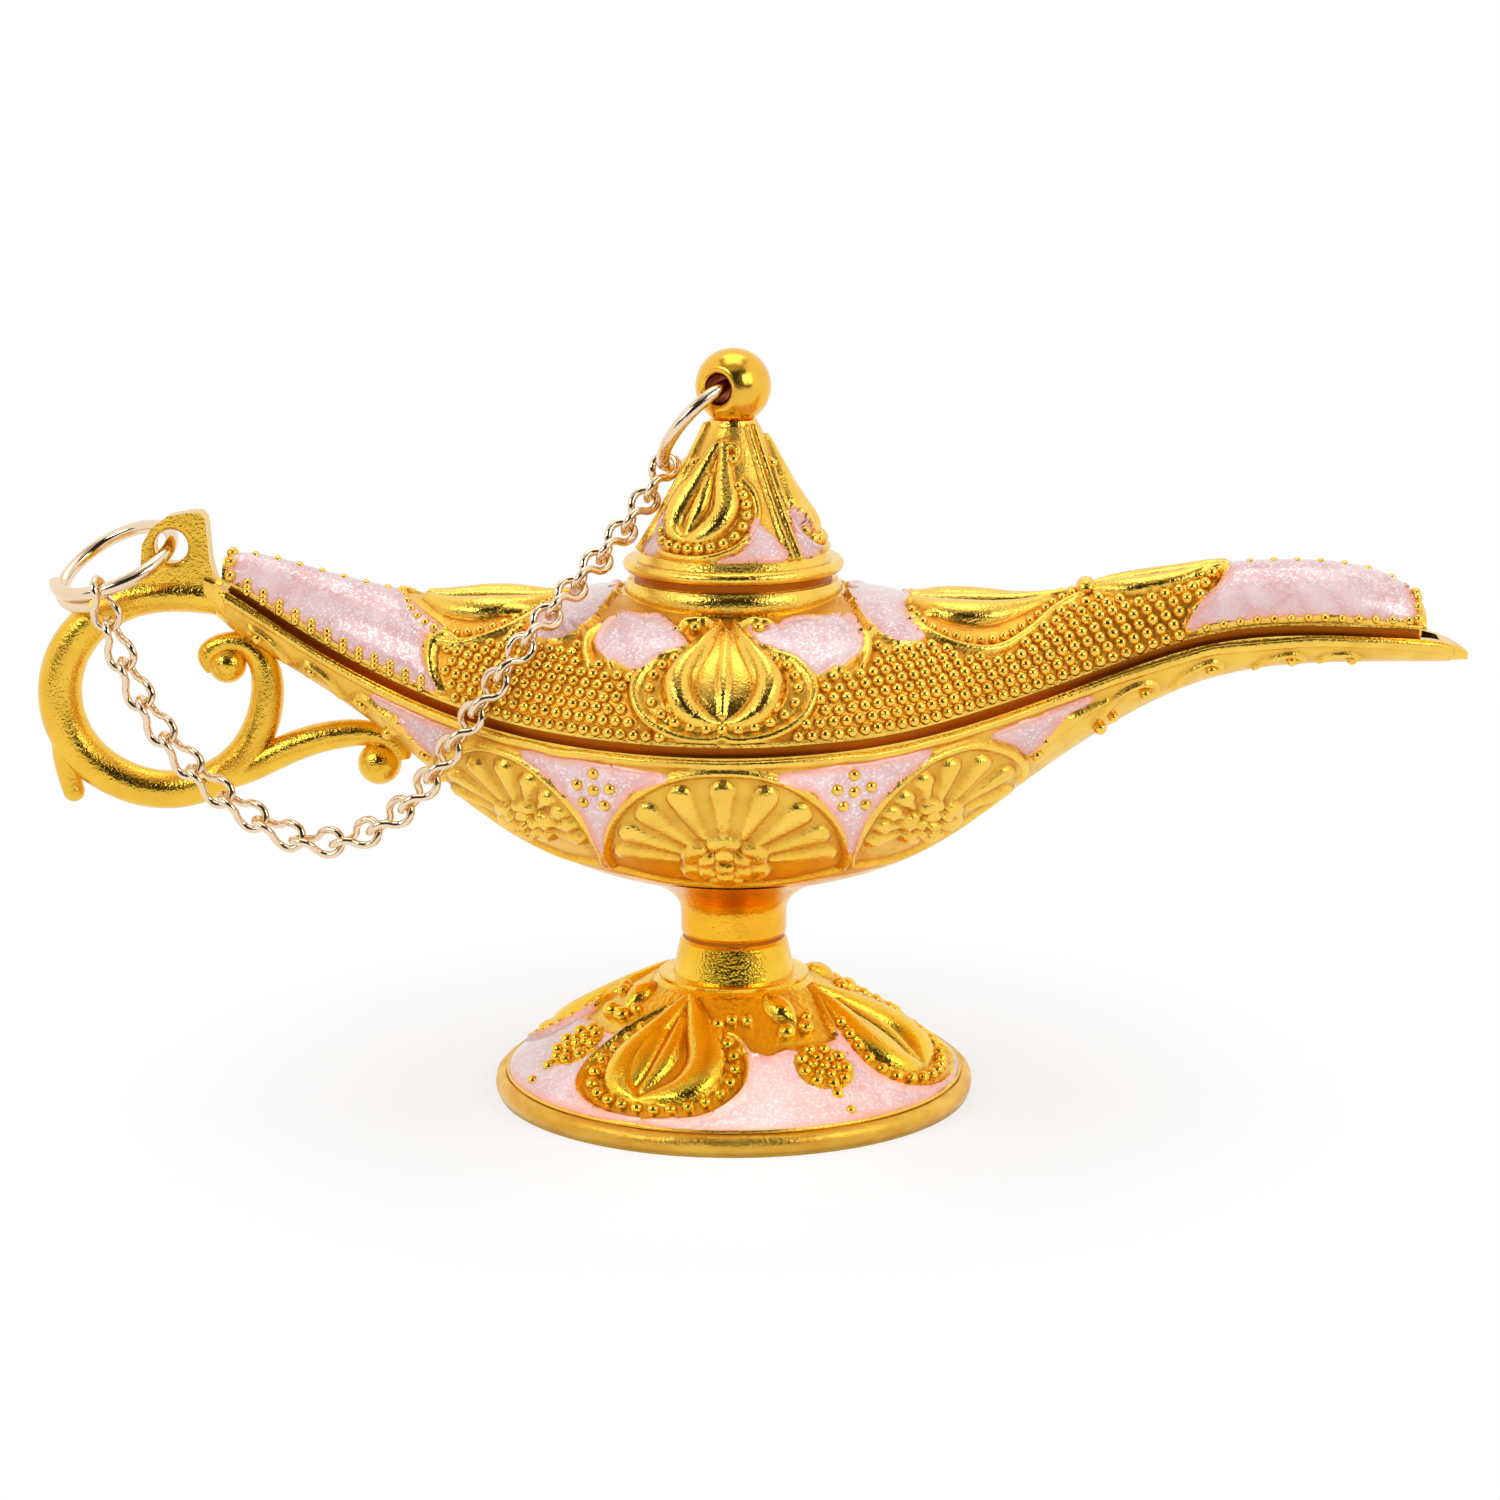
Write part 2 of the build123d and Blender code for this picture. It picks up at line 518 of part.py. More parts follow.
# Chain: the pivots lie along the route one pitch apart, and the pitch is what closes the chain.
link_r = LINK_WIRE / 2
nose = link_r + LINK_PLAY / 2
handle_reach = HANDLE_RING_WIRE / 2 + link_r + RING_PLAY - nose
lid_reach = LID_RING_WIRE / 2 + link_r + RING_PLAY - nose
route = [Vector(x, y, FOOT_H + z) for x, y, z in ROUTE]
first_pivot = handle_hook + (handle_hook - route[0]).normalized() * handle_reach
last_pivot = lid_hook + (lid_hook - route[-1]).normalized() * lid_reach
run = Spline(first_pivot, *route, last_pivot)
steps = 3000
trail = [run @ (i / steps) for i in range(steps + 1)]


def pace(pitch):
    # Walk the trail one pitch at a time, and report how far the walk got.
    pivots = [trail[0]]
    i = 0
    for link in range(LINK_COUNT):
        while i < steps and (trail[i] - pivots[-1]).length < pitch:
            i += 1
        before = (trail[i - 1] - pivots[-1]).length
        after = (trail[i] - pivots[-1]).length
        share = (pitch - before) / (after - before)
        pivots.append(trail[i - 1] + (trail[i] - trail[i - 1]) * share)
    return pivots, i


short = 0.8 * run.length / LINK_COUNT
long = 1.05 * run.length / LINK_COUNT
for _ in range(48):
    pitch = (short + long) / 2
    if pace(pitch)[1] >= steps:
        long = pitch
    else:
        short = pitch
pitch = short
pivots = pace(pitch)[0]

# Each link turns its end loops across its neighbour, so the roll is carried along the chain and
# what is left over between the two rings is shared out among the links.
ways = [(b - a).normalized() for a, b in zip(pivots, pivots[1:])]
twist = radians(LINK_TWIST)


def turned(vector, axis, angle):
    return vector * cos(angle) + axis.cross(vector) * sin(angle) + axis * (axis.dot(vector) * (1 - cos(angle)))


first_loop = ways[0].cross(handle_wire_way).normalized()
rolls = [turned(first_loop, ways[0], twist)]
for way in ways[1:]:
    carried = rolls[-1] - way * rolls[-1].dot(way)
    rolls.append(carried.normalized())
wanted = turned(ways[-1].cross(lid_wire_way).normalized(), ways[-1], -twist)
left_over = rolls[-1].get_signed_angle(wanted, ways[-1])
left_over = (left_over + 90.0) % 180.0 - 90.0
for i, way in enumerate(ways):
    rolls[i] = turned(rolls[i], way, radians(left_over) * i / (LINK_COUNT - 1))

# One link, lying along X from its own pivot to the next: two end loops and two S-shaped sides.
loop_r = (LINK_WIDTH - LINK_WIRE) / 2
near_x = loop_r - nose
far_x = pitch + nose - loop_r
shift = 2 * loop_r * sin(twist)
bend = 2 * atan(shift / (far_x - near_x))
bend_r = (far_x - near_x) / (2 * sin(bend))
loop_y = loop_r * cos(twist)
loop_z = loop_r * sin(twist)


def wire_arc(start, way, centre, axis, sweep):
    return revolve(Plane(origin=start, z_dir=way) * Circle(link_r), Axis(centre, axis), sweep)


near_loop = wire_arc((near_x, loop_y, -loop_z), (-1, 0, 0), (near_x, 0, 0), (0, loop_z, loop_y), 180)
far_loop = wire_arc((far_x, loop_y, loop_z), (1, 0, 0), (far_x, 0, 0), (0, loop_z, -loop_y), 180)
side_out = wire_arc((near_x, loop_y, -loop_z), (1, 0, 0), (near_x, loop_y, bend_r - loop_z), (0, -1, 0), degrees(bend))
half_way = (0.5 * (near_x + far_x), loop_y, 0)
side_back = wire_arc(half_way, (cos(bend), 0, sin(bend)), (far_x, loop_y, loop_z - bend_r), (0, 1, 0), degrees(bend))
one_side = side_out + side_back
link = near_loop + one_side + far_loop + Rot(180, 0, 0) * one_side

pieces = {
    "lower_body": lower_body,
    "handle": handle,
    "top_shell": top_shell,
    "foot": foot,
    "foot_screw": foot_screw,
    "screw_washer": washer,
    "lid": lid,
    "lid_finial": finial,
    "lid_ring": lid_ring,
    "handle_ring": handle_ring,
}
for i, way in enumerate(ways):
    seat = Plane(origin=pivots[i], x_dir=way, z_dir=way.cross(rolls[i]))
    pieces["chain_link_" + str(i + 1).zfill(2)] = seat * link
for name, piece in pieces.items():
    solids = piece.solids()
    print(name, len(solids), round(sum(s.volume for s in solids), 2))
    export_step(piece if len(solids) > 1 else solids[0], "parts/" + name + ".step")
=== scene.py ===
import math
import bpy
import numpy as np
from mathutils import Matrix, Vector


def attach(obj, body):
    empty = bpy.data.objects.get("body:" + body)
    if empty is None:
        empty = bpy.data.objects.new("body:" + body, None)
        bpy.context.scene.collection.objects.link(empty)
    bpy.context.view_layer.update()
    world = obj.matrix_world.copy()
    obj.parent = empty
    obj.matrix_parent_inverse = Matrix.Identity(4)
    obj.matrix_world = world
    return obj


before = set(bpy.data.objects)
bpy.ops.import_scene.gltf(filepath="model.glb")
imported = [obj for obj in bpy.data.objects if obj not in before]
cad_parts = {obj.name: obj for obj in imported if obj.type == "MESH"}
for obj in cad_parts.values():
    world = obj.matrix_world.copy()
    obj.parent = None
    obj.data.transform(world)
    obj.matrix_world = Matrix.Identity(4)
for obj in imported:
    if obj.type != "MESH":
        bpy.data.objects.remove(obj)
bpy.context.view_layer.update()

# FOOT: a hollow flared casting in gilt white metal, turned on the lathe before casting the mould.
# Four twisted buds with bead borders divide pearl pink enamel, which is poured into the low fields
# and fired level with the gold outlines. A berry sprig and a flower stand in each field.
MM = 0.001
CONE_TOP = (7.1, 10.6)
CONE_RIM = (21.1, 1.8)
CONE_WIDE = 14.0
CONE_DROP = 8.8
CONE_STRETCH = math.hypot(CONE_WIDE, CONE_DROP) / CONE_WIDE
SKIN_LIFT = 0.06
EDGE_SINK = 0.25
WELD = 0.004
SLIVER = 0.002


def drop_selection():
    for thing in bpy.context.selected_objects:
        thing.select_set(False)


def blank_material(name):
    paint = bpy.data.materials.new(name)
    paint.use_nodes = True
    paint.node_tree.nodes.clear()
    return paint, paint.node_tree.nodes, paint.node_tree.links


def clad(node, paint):
    """Gives a solid of the frame its material."""
    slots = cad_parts[node].data.materials
    slots.clear()
    slots.append(paint)


def new_object(name, data):
    thing = bpy.data.objects.new(name, data)
    bpy.context.scene.collection.objects.link(thing)
    return thing


def make_active(thing):
    drop_selection()
    thing.select_set(True)
    bpy.context.view_layer.objects.active = thing


def shader(nodes, kind, values=(), **traits):
    """A new shader node with its traits and its fixed inputs."""
    node = nodes.new("ShaderNode" + kind)
    for trait, value in traits.items():
        setattr(node, trait, value)
    for socket, value in dict(values).items():
        node.inputs[socket].default_value = value
    return node


def join(links, *wires):
    """Links shader nodes: every wire is (node, output, node, input)."""
    for source, output, target, entry in wires:
        links.new(source.outputs[output], target.inputs[entry])


def fill_ramp(ramp, stops):
    """Sets the stops of a colour ramp: (position, colour)."""
    marks = ramp.color_ramp.elements
    while len(marks) < len(stops):
        marks.new(0.5)
    for mark, (position, colour) in zip(marks, stops):
        mark.position = position
        mark.color = (*colour, 1.0)


def gilt(name, bright, deep, rough, grain, satin=0.0, shade_tints=()):
    """Gilt casting: warm metal with painted shade that deepens its colour in the hollows, a fine cast grain
    and a satin ground that is rubbed bright on its high parts.
    The height tints, by height in millimetres, are painted shade too: the base darker where it stands on the
    table, the foot and neck redder as gilt in shade."""
    paint, nodes, links = blank_material(name)
    out = shader(nodes, "OutputMaterial")
    metal = shader(nodes, "BsdfPrincipled", {"Metallic": 1.0})
    place = shader(nodes, "TexCoord")
    # Painted shade: this layer deepens the colour in the hollows of the relief.
    hollow_shade = shader(nodes, "Attribute", attribute_name="hollow_shade")
    ground = shader(nodes, "Attribute", attribute_name="ground")
    cloud = shader(nodes, "TexNoise", {"Scale": 420.0, "Detail": 3.0})
    sand = shader(nodes, "TexNoise", {"Scale": 3600.0, "Detail": 2.0})
    tone = shader(nodes, "MapRange", {"From Min": 0.35, "From Max": 0.7, "To Max": 0.18})
    both = shader(nodes, "Math", operation="ADD", use_clamp=True)
    colour = shader(nodes, "Mix", {"A": (*bright, 1.0), "B": (*deep, 1.0)}, data_type="RGBA")
    dull = shader(nodes, "MapRange", {"From Min": 0.3, "From Max": 0.75, "To Min": rough,
                                      "To Max": rough + 0.16})
    matt = shader(nodes, "Math", {1: satin}, operation="MULTIPLY_ADD")
    bump = shader(nodes, "Bump", {"Strength": grain, "Distance": 0.00012})
    join(links, (metal, "BSDF", out, "Surface"), (place, "Object", cloud, "Vector"),
         (place, "Object", sand, "Vector"), (cloud, "Fac", tone, "Value"), (tone, "Result", both, 0),
         (hollow_shade, "Fac", both, 1), (both, "Value", colour, "Factor"), (colour, "Result", metal, "Base Color"),
         (cloud, "Fac", dull, "Value"), (ground, "Fac", matt, 0), (dull, "Result", matt, 2),
         (matt, "Value", metal, "Roughness"), (sand, "Fac", bump, "Height"),
         (bump, "Normal", metal, "Normal"))
    # Painted shade by height: the colour is multiplied darker at the base on the table and redder on the foot
    # and neck.
    if shade_tints:
        top = shade_tints[-1][0]
        axes = shader(nodes, "SeparateXYZ")
        height = shader(nodes, "MapRange", {"From Max": top * MM})
        height_shade = shader(nodes, "ValToRGB")
        fill_ramp(height_shade, [(level / top, tint) for level, tint in shade_tints])
        shaded_colour = shader(nodes, "Mix", {"Factor": 1.0}, data_type="RGBA", blend_type="MULTIPLY")
        join(links, (place, "Object", axes, "Vector"), (axes, "Z", height, "Value"),
             (height, "Result", height_shade, "Fac"), (colour, "Result", shaded_colour, "A"), (height_shade, "Color", shaded_colour, "B"),
             (shaded_colour, "Result", metal, "Base Color"))
    return paint


def pearl_enamel():
    """Pearl pink enamel under clear glaze, with mica flakes and a salmon tint where it thins at the gold."""
    paint, nodes, links = blank_material("pearl_pink_enamel")
    out = shader(nodes, "OutputMaterial")
    glaze = shader(nodes, "BsdfPrincipled", {"Coat Weight": 0.8, "Coat Roughness": 0.06, "Roughness": 0.34})
    place = shader(nodes, "TexCoord")
    milk = shader(nodes, "TexNoise", {"Scale": 260.0, "Detail": 4.0, "Distortion": 1.4})
    ramp = shader(nodes, "ValToRGB")
    fill_ramp(ramp, [(0.34, (0.71, 0.40, 0.39)), (0.68, (0.80, 0.58, 0.57))])
    flake = shader(nodes, "TexVoronoi", {"Scale": 5200.0})
    split = shader(nodes, "SeparateColor")
    glint = shader(nodes, "MapRange", {"From Min": 0.62, "From Max": 1.0, "To Max": 0.75})
    lit = shader(nodes, "Mix", {"B": (0.98, 0.93, 0.93, 1.0)}, data_type="RGBA")
    rim = shader(nodes, "Attribute", attribute_name="thin")
    warm = shader(nodes, "Mix", {"B": (0.86, 0.36, 0.24, 1.0)}, data_type="RGBA")
    sheen = shader(nodes, "Math", {1: 0.55}, operation="MULTIPLY")
    join(links, (glaze, "BSDF", out, "Surface"), (place, "Object", milk, "Vector"),
         (milk, "Fac", ramp, "Fac"), (place, "Object", flake, "Vector"), (flake, "Color", split, "Color"),
         (split, "Red", glint, "Value"), (glint, "Result", lit, "Factor"), (ramp, "Color", lit, "A"),
         (rim, "Fac", warm, "Factor"), (lit, "Result", warm, "A"), (warm, "Result", glaze, "Base Color"),
         (glint, "Result", sheen, 0), (sheen, "Value", glaze, "Metallic"))
    return paint


# Painted shade by height: darker where the base meets the table, redder on the foot and neck as gilt in
# shade.
PLAIN_TINT = (1.0, 1.0, 1.0)
TABLE_SHADE = (0.42, 0.36, 0.3)
RIM_SHADE = (0.88, 0.85, 0.8)
FOOT_SHADE = (1.0, 0.98, 0.52)
NECK_SHADE = (1.0, 0.8, 0.3)
HEIGHT_SHADE = [(0.0, TABLE_SHADE), (0.7, RIM_SHADE), (1.7, PLAIN_TINT), (4.0, FOOT_SHADE), (12.0, FOOT_SHADE),
           (15.0, NECK_SHADE), (22.5, NECK_SHADE), (27.5, PLAIN_TINT)]
cast_gold = gilt("cast_gold", (0.98, 0.64, 0.10), (0.66, 0.23, 0.008), 0.12, 0.5, 0.18, HEIGHT_SHADE)
enamel = pearl_enamel()


def spline(knots, step):
    """Smooth runs through the inner knots; every column is carried along."""
    rows = []
    for a, b, c, d in zip(knots, knots[1:], knots[2:], knots[3:]):
        n = max(2, int(np.hypot(*(c - b)[:2]) / step))
        t = np.linspace(0, 1, n, endpoint=False)[:, None]
        square = 2 * a - 5 * b + 4 * c - d
        cube = 3 * b - a - 3 * c + d
        rows.append(0.5 * (2 * b + (c - a) * t + square * t ** 2 + cube * t ** 3))
    return rows


def bent_line(points, step=0.14):
    """A smooth line through given points: (place) or (place, half width, height)."""
    p = np.array(points, float)
    return np.vstack(spline(np.vstack([2 * p[0] - p[1], p, 2 * p[-1] - p[-2]]), step) + [p[-1:]])


def closed(points, step=0.1):
    """A closed smooth outline through given points."""
    p = np.array(points, float)[:, :2]
    return np.vstack(spline(np.vstack([p[-1], p, p[0], p[1]]), step))


def chase(relief, u, v, points, full=0.6):
    """Raises a rounded ridge on the relief: points are (u, v, half width, height)."""
    line = bent_line(points)
    wide = line[:, 2].max()
    near = (u > line[:, 0].min() - wide) & (u < line[:, 0].max() + wide)
    near &= (v > line[:, 1].min() - wide) & (v < line[:, 1].max() + wide)
    if not near.any():
        return
    away = np.hypot(u[near][:, None] - line[:, 0], v[near][:, None] - line[:, 1])
    away = away / np.maximum(line[:, 2], 0.02)
    best = away.argmin(1)
    away = away[np.arange(len(best)), best]
    dome = np.clip(1 - away ** 2, 0, 1) ** full * line[best, 3]
    relief[near] = np.maximum(relief[near], dome)


def mirrored(points):
    return [(-p[0],) + tuple(p[1:]) for p in points]


def within(u, v, outline):
    """True where a place lies inside a closed outline."""
    inside = np.zeros(u.shape, bool)
    for (ax, ay), (bx, by) in zip(outline, np.roll(outline, -1, axis=0)):
        if ay == by:
            continue
        cross = ((ay > v) != (by > v)) & (u < (bx - ax) * (v - ay) / (by - ay) + ax)
        inside ^= cross
    return inside


def gap_to(u, v, outline, margin=2.0, beyond=9.0):
    """Distance to a closed outline and the nearest place on it; past the margin it is set to beyond."""
    gap = np.full(u.shape, beyond)
    foot_u = u.copy()
    foot_v = v.copy()
    near = (u > outline[:, 0].min() - margin) & (u < outline[:, 0].max() + margin)
    near &= (v > outline[:, 1].min() - margin) & (v < outline[:, 1].max() + margin)
    places = np.argwhere(near)
    for part in np.array_split(places, max(1, len(places) // 4000)):
        if not len(part):
            continue
        key = tuple(part.T)
        d = np.hypot(u[key][:, None] - outline[:, 0], v[key][:, None] - outline[:, 1])
        k = d.argmin(1)
        gap[key] = d[np.arange(len(k)), k]
        foot_u[key] = outline[k, 0]
        foot_v[key] = outline[k, 1]
    return gap, foot_u, foot_v


def heap(relief, u, v, outline, level):
    """Raises all that lies inside an outline to a level at least."""
    relief[:] = np.where(within(u, v, outline), np.maximum(relief, level), relief)


SNAP = 0.13
THIN_BAND = 0.95


def pour(field, u, v, outline, level):
    """Fills an outline with enamel: moves the nearest places onto the outline and sets the level there."""
    gap, near_u, near_v = gap_to(u, v, outline)
    snap = gap < SNAP
    u[snap] = near_u[snap]
    v[snap] = near_v[snap]
    wet = within(u, v, outline) & ~snap
    field["wet"] |= wet | snap
    field["thin"][wet] = np.maximum(field["thin"][wet], np.clip(1 - gap[wet] / THIN_BAND, 0, 1) ** 1.5)
    field["thin"][snap] = 1.0
    rise = level + 0.10 * np.clip(gap / 1.2, 0, 1)
    field["relief"][wet] = np.maximum(rise[wet], field["relief"][wet])


def new_field(shape):
    """An empty drawing: height of the relief, where it is enamelled and how thin the enamel is."""
    return {"relief": np.zeros(shape), "wet": np.zeros(shape, bool), "thin": np.zeros(shape)}


def each_layer(field, how):
    return {label: how(grid) for label, grid in field.items()}


def blurred(grid, reach, wrap=False):
    """A soft average along both ways of a grid."""
    k = np.exp(-0.5 * (np.arange(-3 * reach, 3 * reach + 1) / reach) ** 2)
    k = k / k.sum()
    half = len(k) // 2
    for axis in (0, 1):
        pad = [(0, 0)] * grid.ndim
        pad[axis] = (half, half)
        if wrap and axis == 0:
            wide = np.pad(grid, pad, mode="wrap")
        else:
            wide = np.pad(grid, pad, mode="reflect", reflect_type="odd")
        grid = sum(w * np.take(wide, np.arange(i, i + grid.shape[axis]), axis=axis) for i, w in enumerate(k))
    return grid


def mesh_values(things, label, width, kind=float):
    """One value of every point or face of a mesh, a row for each."""
    flat = np.zeros(len(things) * width, kind)
    things.foreach_get(label, flat)
    return flat.reshape(-1, width)


def new_sheet(name, base):
    """A grid with a point at every place of base, in millimetres, and the rows and columns of its points."""
    rows, columns = base.shape[:2]
    drop_selection()
    bpy.ops.mesh.primitive_grid_add(x_subdivisions=columns - 1, y_subdivisions=rows - 1, size=2.0)
    sheet = bpy.context.object
    sheet.name = name
    flat = mesh_values(sheet.data.vertices, "co", 3)
    col = np.rint((flat[:, 0] + 1) / 2 * (columns - 1)).astype(int)
    row = np.rint((flat[:, 1] + 1) / 2 * (rows - 1)).astype(int)
    sheet.data.vertices.foreach_set("co", (base[row, col] * MM).ravel())
    return sheet, (row, col)


def raise_skin(name, base, field, sink, body, inside_z, drop=None, wrap=False, painted_shade=0.0):
    """Lays a fine grid on the casting, raises the relief with a Displace modifier and parts off the enamel.
    base is the grid of places in millimetres, sink the depth under it, drop the places that are left out."""
    relief = field["relief"]
    skin, at = new_sheet(name, base)
    mesh = skin.data
    corner = mesh_values(mesh.polygons, "vertices", 4, int)
    # Painted shade: the colour is darkened in the hollows of the relief and wherever more painted shade is
    # passed in.
    low = relief - blurred(relief, 3, wrap)
    layers = {"hollow_shade": np.clip(-low * 2.2 + painted_shade, 0, 0.9), "thin": field["thin"],
              "ground": np.clip(1.1 - relief * 1.6, 0, 1)}
    for label, value in layers.items():
        layer = mesh.attributes.new(label, "FLOAT", "POINT")
        layer.data.foreach_set("value", value[at].astype(np.float32))
    mesh.update()
    facing = mesh_values(mesh.polygons, "normal", 3)
    outward = mesh_values(mesh.polygons, "center", 3) * [0.1, 1.0, 1.0] - [0.0, 0.0, inside_z * MM]
    if (facing * outward).sum() < 0:
        mesh.flip_normals()
    for label, amount, way in (("raised", relief, MM), ("sunk", sink, -MM)):
        most = max(float(np.abs(amount).max()), 1e-6)
        group = skin.vertex_groups.new(name=label)
        share = (amount / most)[at]
        for i in np.flatnonzero(share > 1e-4):
            group.add([int(i)], float(share[i]), "REPLACE")
        lift = skin.modifiers.new(label, "DISPLACE")
        lift.vertex_group = label
        lift.mid_level = 0.0
        lift.strength = most * way
        bpy.ops.object.modifier_apply(modifier=label)
    skin.vertex_groups.clear()
    gone = np.zeros(len(corner), bool) if drop is None else drop[at][corner].any(1)
    painted = field["wet"][at][corner].all(1)[~gone]
    for chosen, act in ((gone, "delete"), (painted, "part")):
        if not chosen.any():
            continue
        bpy.context.tool_settings.mesh_select_mode = (False, False, True)
        for things in (skin.data.vertices, skin.data.edges):
            things.foreach_set("select", np.zeros(len(things), bool))
        skin.data.polygons.foreach_set("select", chosen)
        bpy.ops.object.mode_set(mode="EDIT")
        if act == "delete":
            bpy.ops.mesh.delete(type="FACE")
        else:
            bpy.ops.mesh.separate(type="SELECTED")
        bpy.ops.object.mode_set(mode="OBJECT")
    pieces = [skin] + [piece for piece in bpy.context.selected_objects if piece is not skin]
    for piece, paint, slot in zip(pieces, (cast_gold, enamel), ("cast_gold", "enamel")):
        make_active(piece)
        bpy.ops.object.mode_set(mode="EDIT")
        bpy.ops.mesh.select_all(action="SELECT")
        bpy.ops.mesh.remove_doubles(threshold=WELD * MM)
        bpy.ops.mesh.dissolve_degenerate(threshold=SLIVER * MM)
        bpy.ops.object.mode_set(mode="OBJECT")
        bpy.ops.object.shade_smooth()
        piece.data.materials.clear()
        piece.data.materials.append(paint)
        piece.name = name if slot == "cast_gold" else name.replace("relief", "enamel")
        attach(piece, body)


def bead_points(points, pitch):
    """Evenly spaced places along a smooth line."""
    line = bent_line(points, 0.05)
    run = np.concatenate([[0], np.cumsum(np.hypot(*np.diff(line[:, :2], axis=0).T))])
    count = max(1, int(round(run[-1] / pitch)))
    at = np.linspace(0, run[-1], count + 1)
    return [(float(np.interp(s, run, line[:, 0])), float(np.interp(s, run, line[:, 1]))) for s in at]


def set_beads(name, spots, body):
    """Copies one small round bead to every spot: (place, way up, radius, height over the surface)."""
    drop_selection()
    bpy.ops.mesh.primitive_ico_sphere_add(subdivisions=2, radius=1.0)
    bead = bpy.context.object
    one = mesh_values(bead.data.vertices, "co", 3)
    faces = mesh_values(bead.data.polygons, "vertices", 3, int)
    bpy.data.objects.remove(bead)
    place, way, size, over = (np.array(column) for column in zip(*spots))
    points = (place + way * over[:, None])[:, None] + one * size[:, None, None]
    corners = faces + (np.arange(len(spots)) * len(one))[:, None, None]
    mesh = bpy.data.meshes.new(name)
    mesh.from_pydata((points.reshape(-1, 3) * MM).tolist(), [], corners.reshape(-1, 3).tolist())
    beads = new_object(name, mesh)
    make_active(beads)
    bpy.ops.object.shade_smooth()
    mesh.materials.append(cast_gold)
    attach(beads, body)


def round_place(r, way, z):
    """Places about the lamp's upright axis; a way of 0 is to the front."""
    return np.stack([r * np.sin(way), -r * np.cos(way), np.broadcast_to(z, np.shape(way))], -1)


def turned(points, angle):
    """Points turned about the cone's opened-out tip."""
    c, s = math.cos(angle), math.sin(angle)
    return [(p[0] * c + p[1] * s, p[1] * c - p[0] * s) + tuple(p[2:]) for p in points]


BUD_EDGE = [(-2.4, 10.0, 0.35, 0.35), (-5.6, 13.0, 0.42, 0.5), (-8.1, 17.2, 0.5, 0.55),
            (-7.9, 20.8, 0.5, 0.55), (-4.5, 23.5, 0.5, 0.5), (0.4, 24.1, 0.5, 0.45), (4.9, 22.8, 0.5, 0.5),
            (7.2, 19.4, 0.5, 0.55), (6.9, 15.8, 0.5, 0.55), (5.2, 13.2, 0.45, 0.5), (4.0, 12.7, 0.4, 0.45)]
BUD_BEADS = [(-4.2, 13.2), (-6.7, 17.2), (-6.6, 20.3), (-3.8, 22.3), (0.3, 22.8), (4.0, 21.6), (5.9, 19.0),
             (5.7, 16.0), (4.3, 14.0)]
BUD_LOBES = [
    [(-1.4, 9.3, 0.5, 0.5), (-2.6, 12.8, 1.2, 1.0), (-4.2, 16.8, 1.75, 1.35), (-3.9, 19.8, 1.55, 1.2),
     (-1.7, 21.7, 0.3, 0.4)],
    [(-0.9, 9.0, 0.5, 0.5), (1.2, 12.6, 1.3, 1.0), (3.2, 16.6, 1.9, 1.35), (2.4, 19.9, 1.7, 1.2),
     (-1.5, 21.7, 0.3, 0.4)],
    [(-0.7, 12.0, 0.5, 0.6), (-0.5, 16.6, 1.0, 0.95), (-1.4, 20.6, 0.5, 0.5)],
]
BUD_TURNS = (-20.0, 78.0, 160.0, 242.0)
FLOWER = (1.35, 18.1)
FLOWER_RINGS = ((1, 0.0, 0.56), (6, 1.08, 0.54), (9, 2.1, 0.64))
FOOT_RINGS = 84
FIELD_END = 24.5
RIM_LINE = 24.72
SCALLOP = [(-5.4, 14.0, 0.3, 0.35), (-3.2, 15.9, 0.32, 0.4), (-1.2, 15.5, 0.3, 0.35), (0.4, 16.3, 0.32, 0.4),
           (2.3, 15.6, 0.3, 0.35), (4.6, 14.6, 0.3, 0.3)]
LEAF = [(-0.3, 8.9, 0.5, 0.6), (0.2, 10.6, 1.3, 1.15), (0.8, 12.3, 0.5, 0.6)]
LOOSE_BEADS = [(1.3, 21.3, 0.6, 0.3), (1.75, 23.3, 0.5, 0.3), (-0.4, 13.5, 0.95, 0.3), (1.7, 13.2, 0.85, 0.3),
               (2.3, 11.9, 0.6, 0.3)]
SPRIG = [(2.7, 11.9), (3.7, 11.1), (5.0, 10.7)]
berries = []
for count, out, size in FLOWER_RINGS:
    for k in range(count):
        a = 2 * math.pi * (k + 0.3) / count
        berries.append((FLOWER[0] + out * math.cos(a), FLOWER[1] + out * math.sin(a), size))


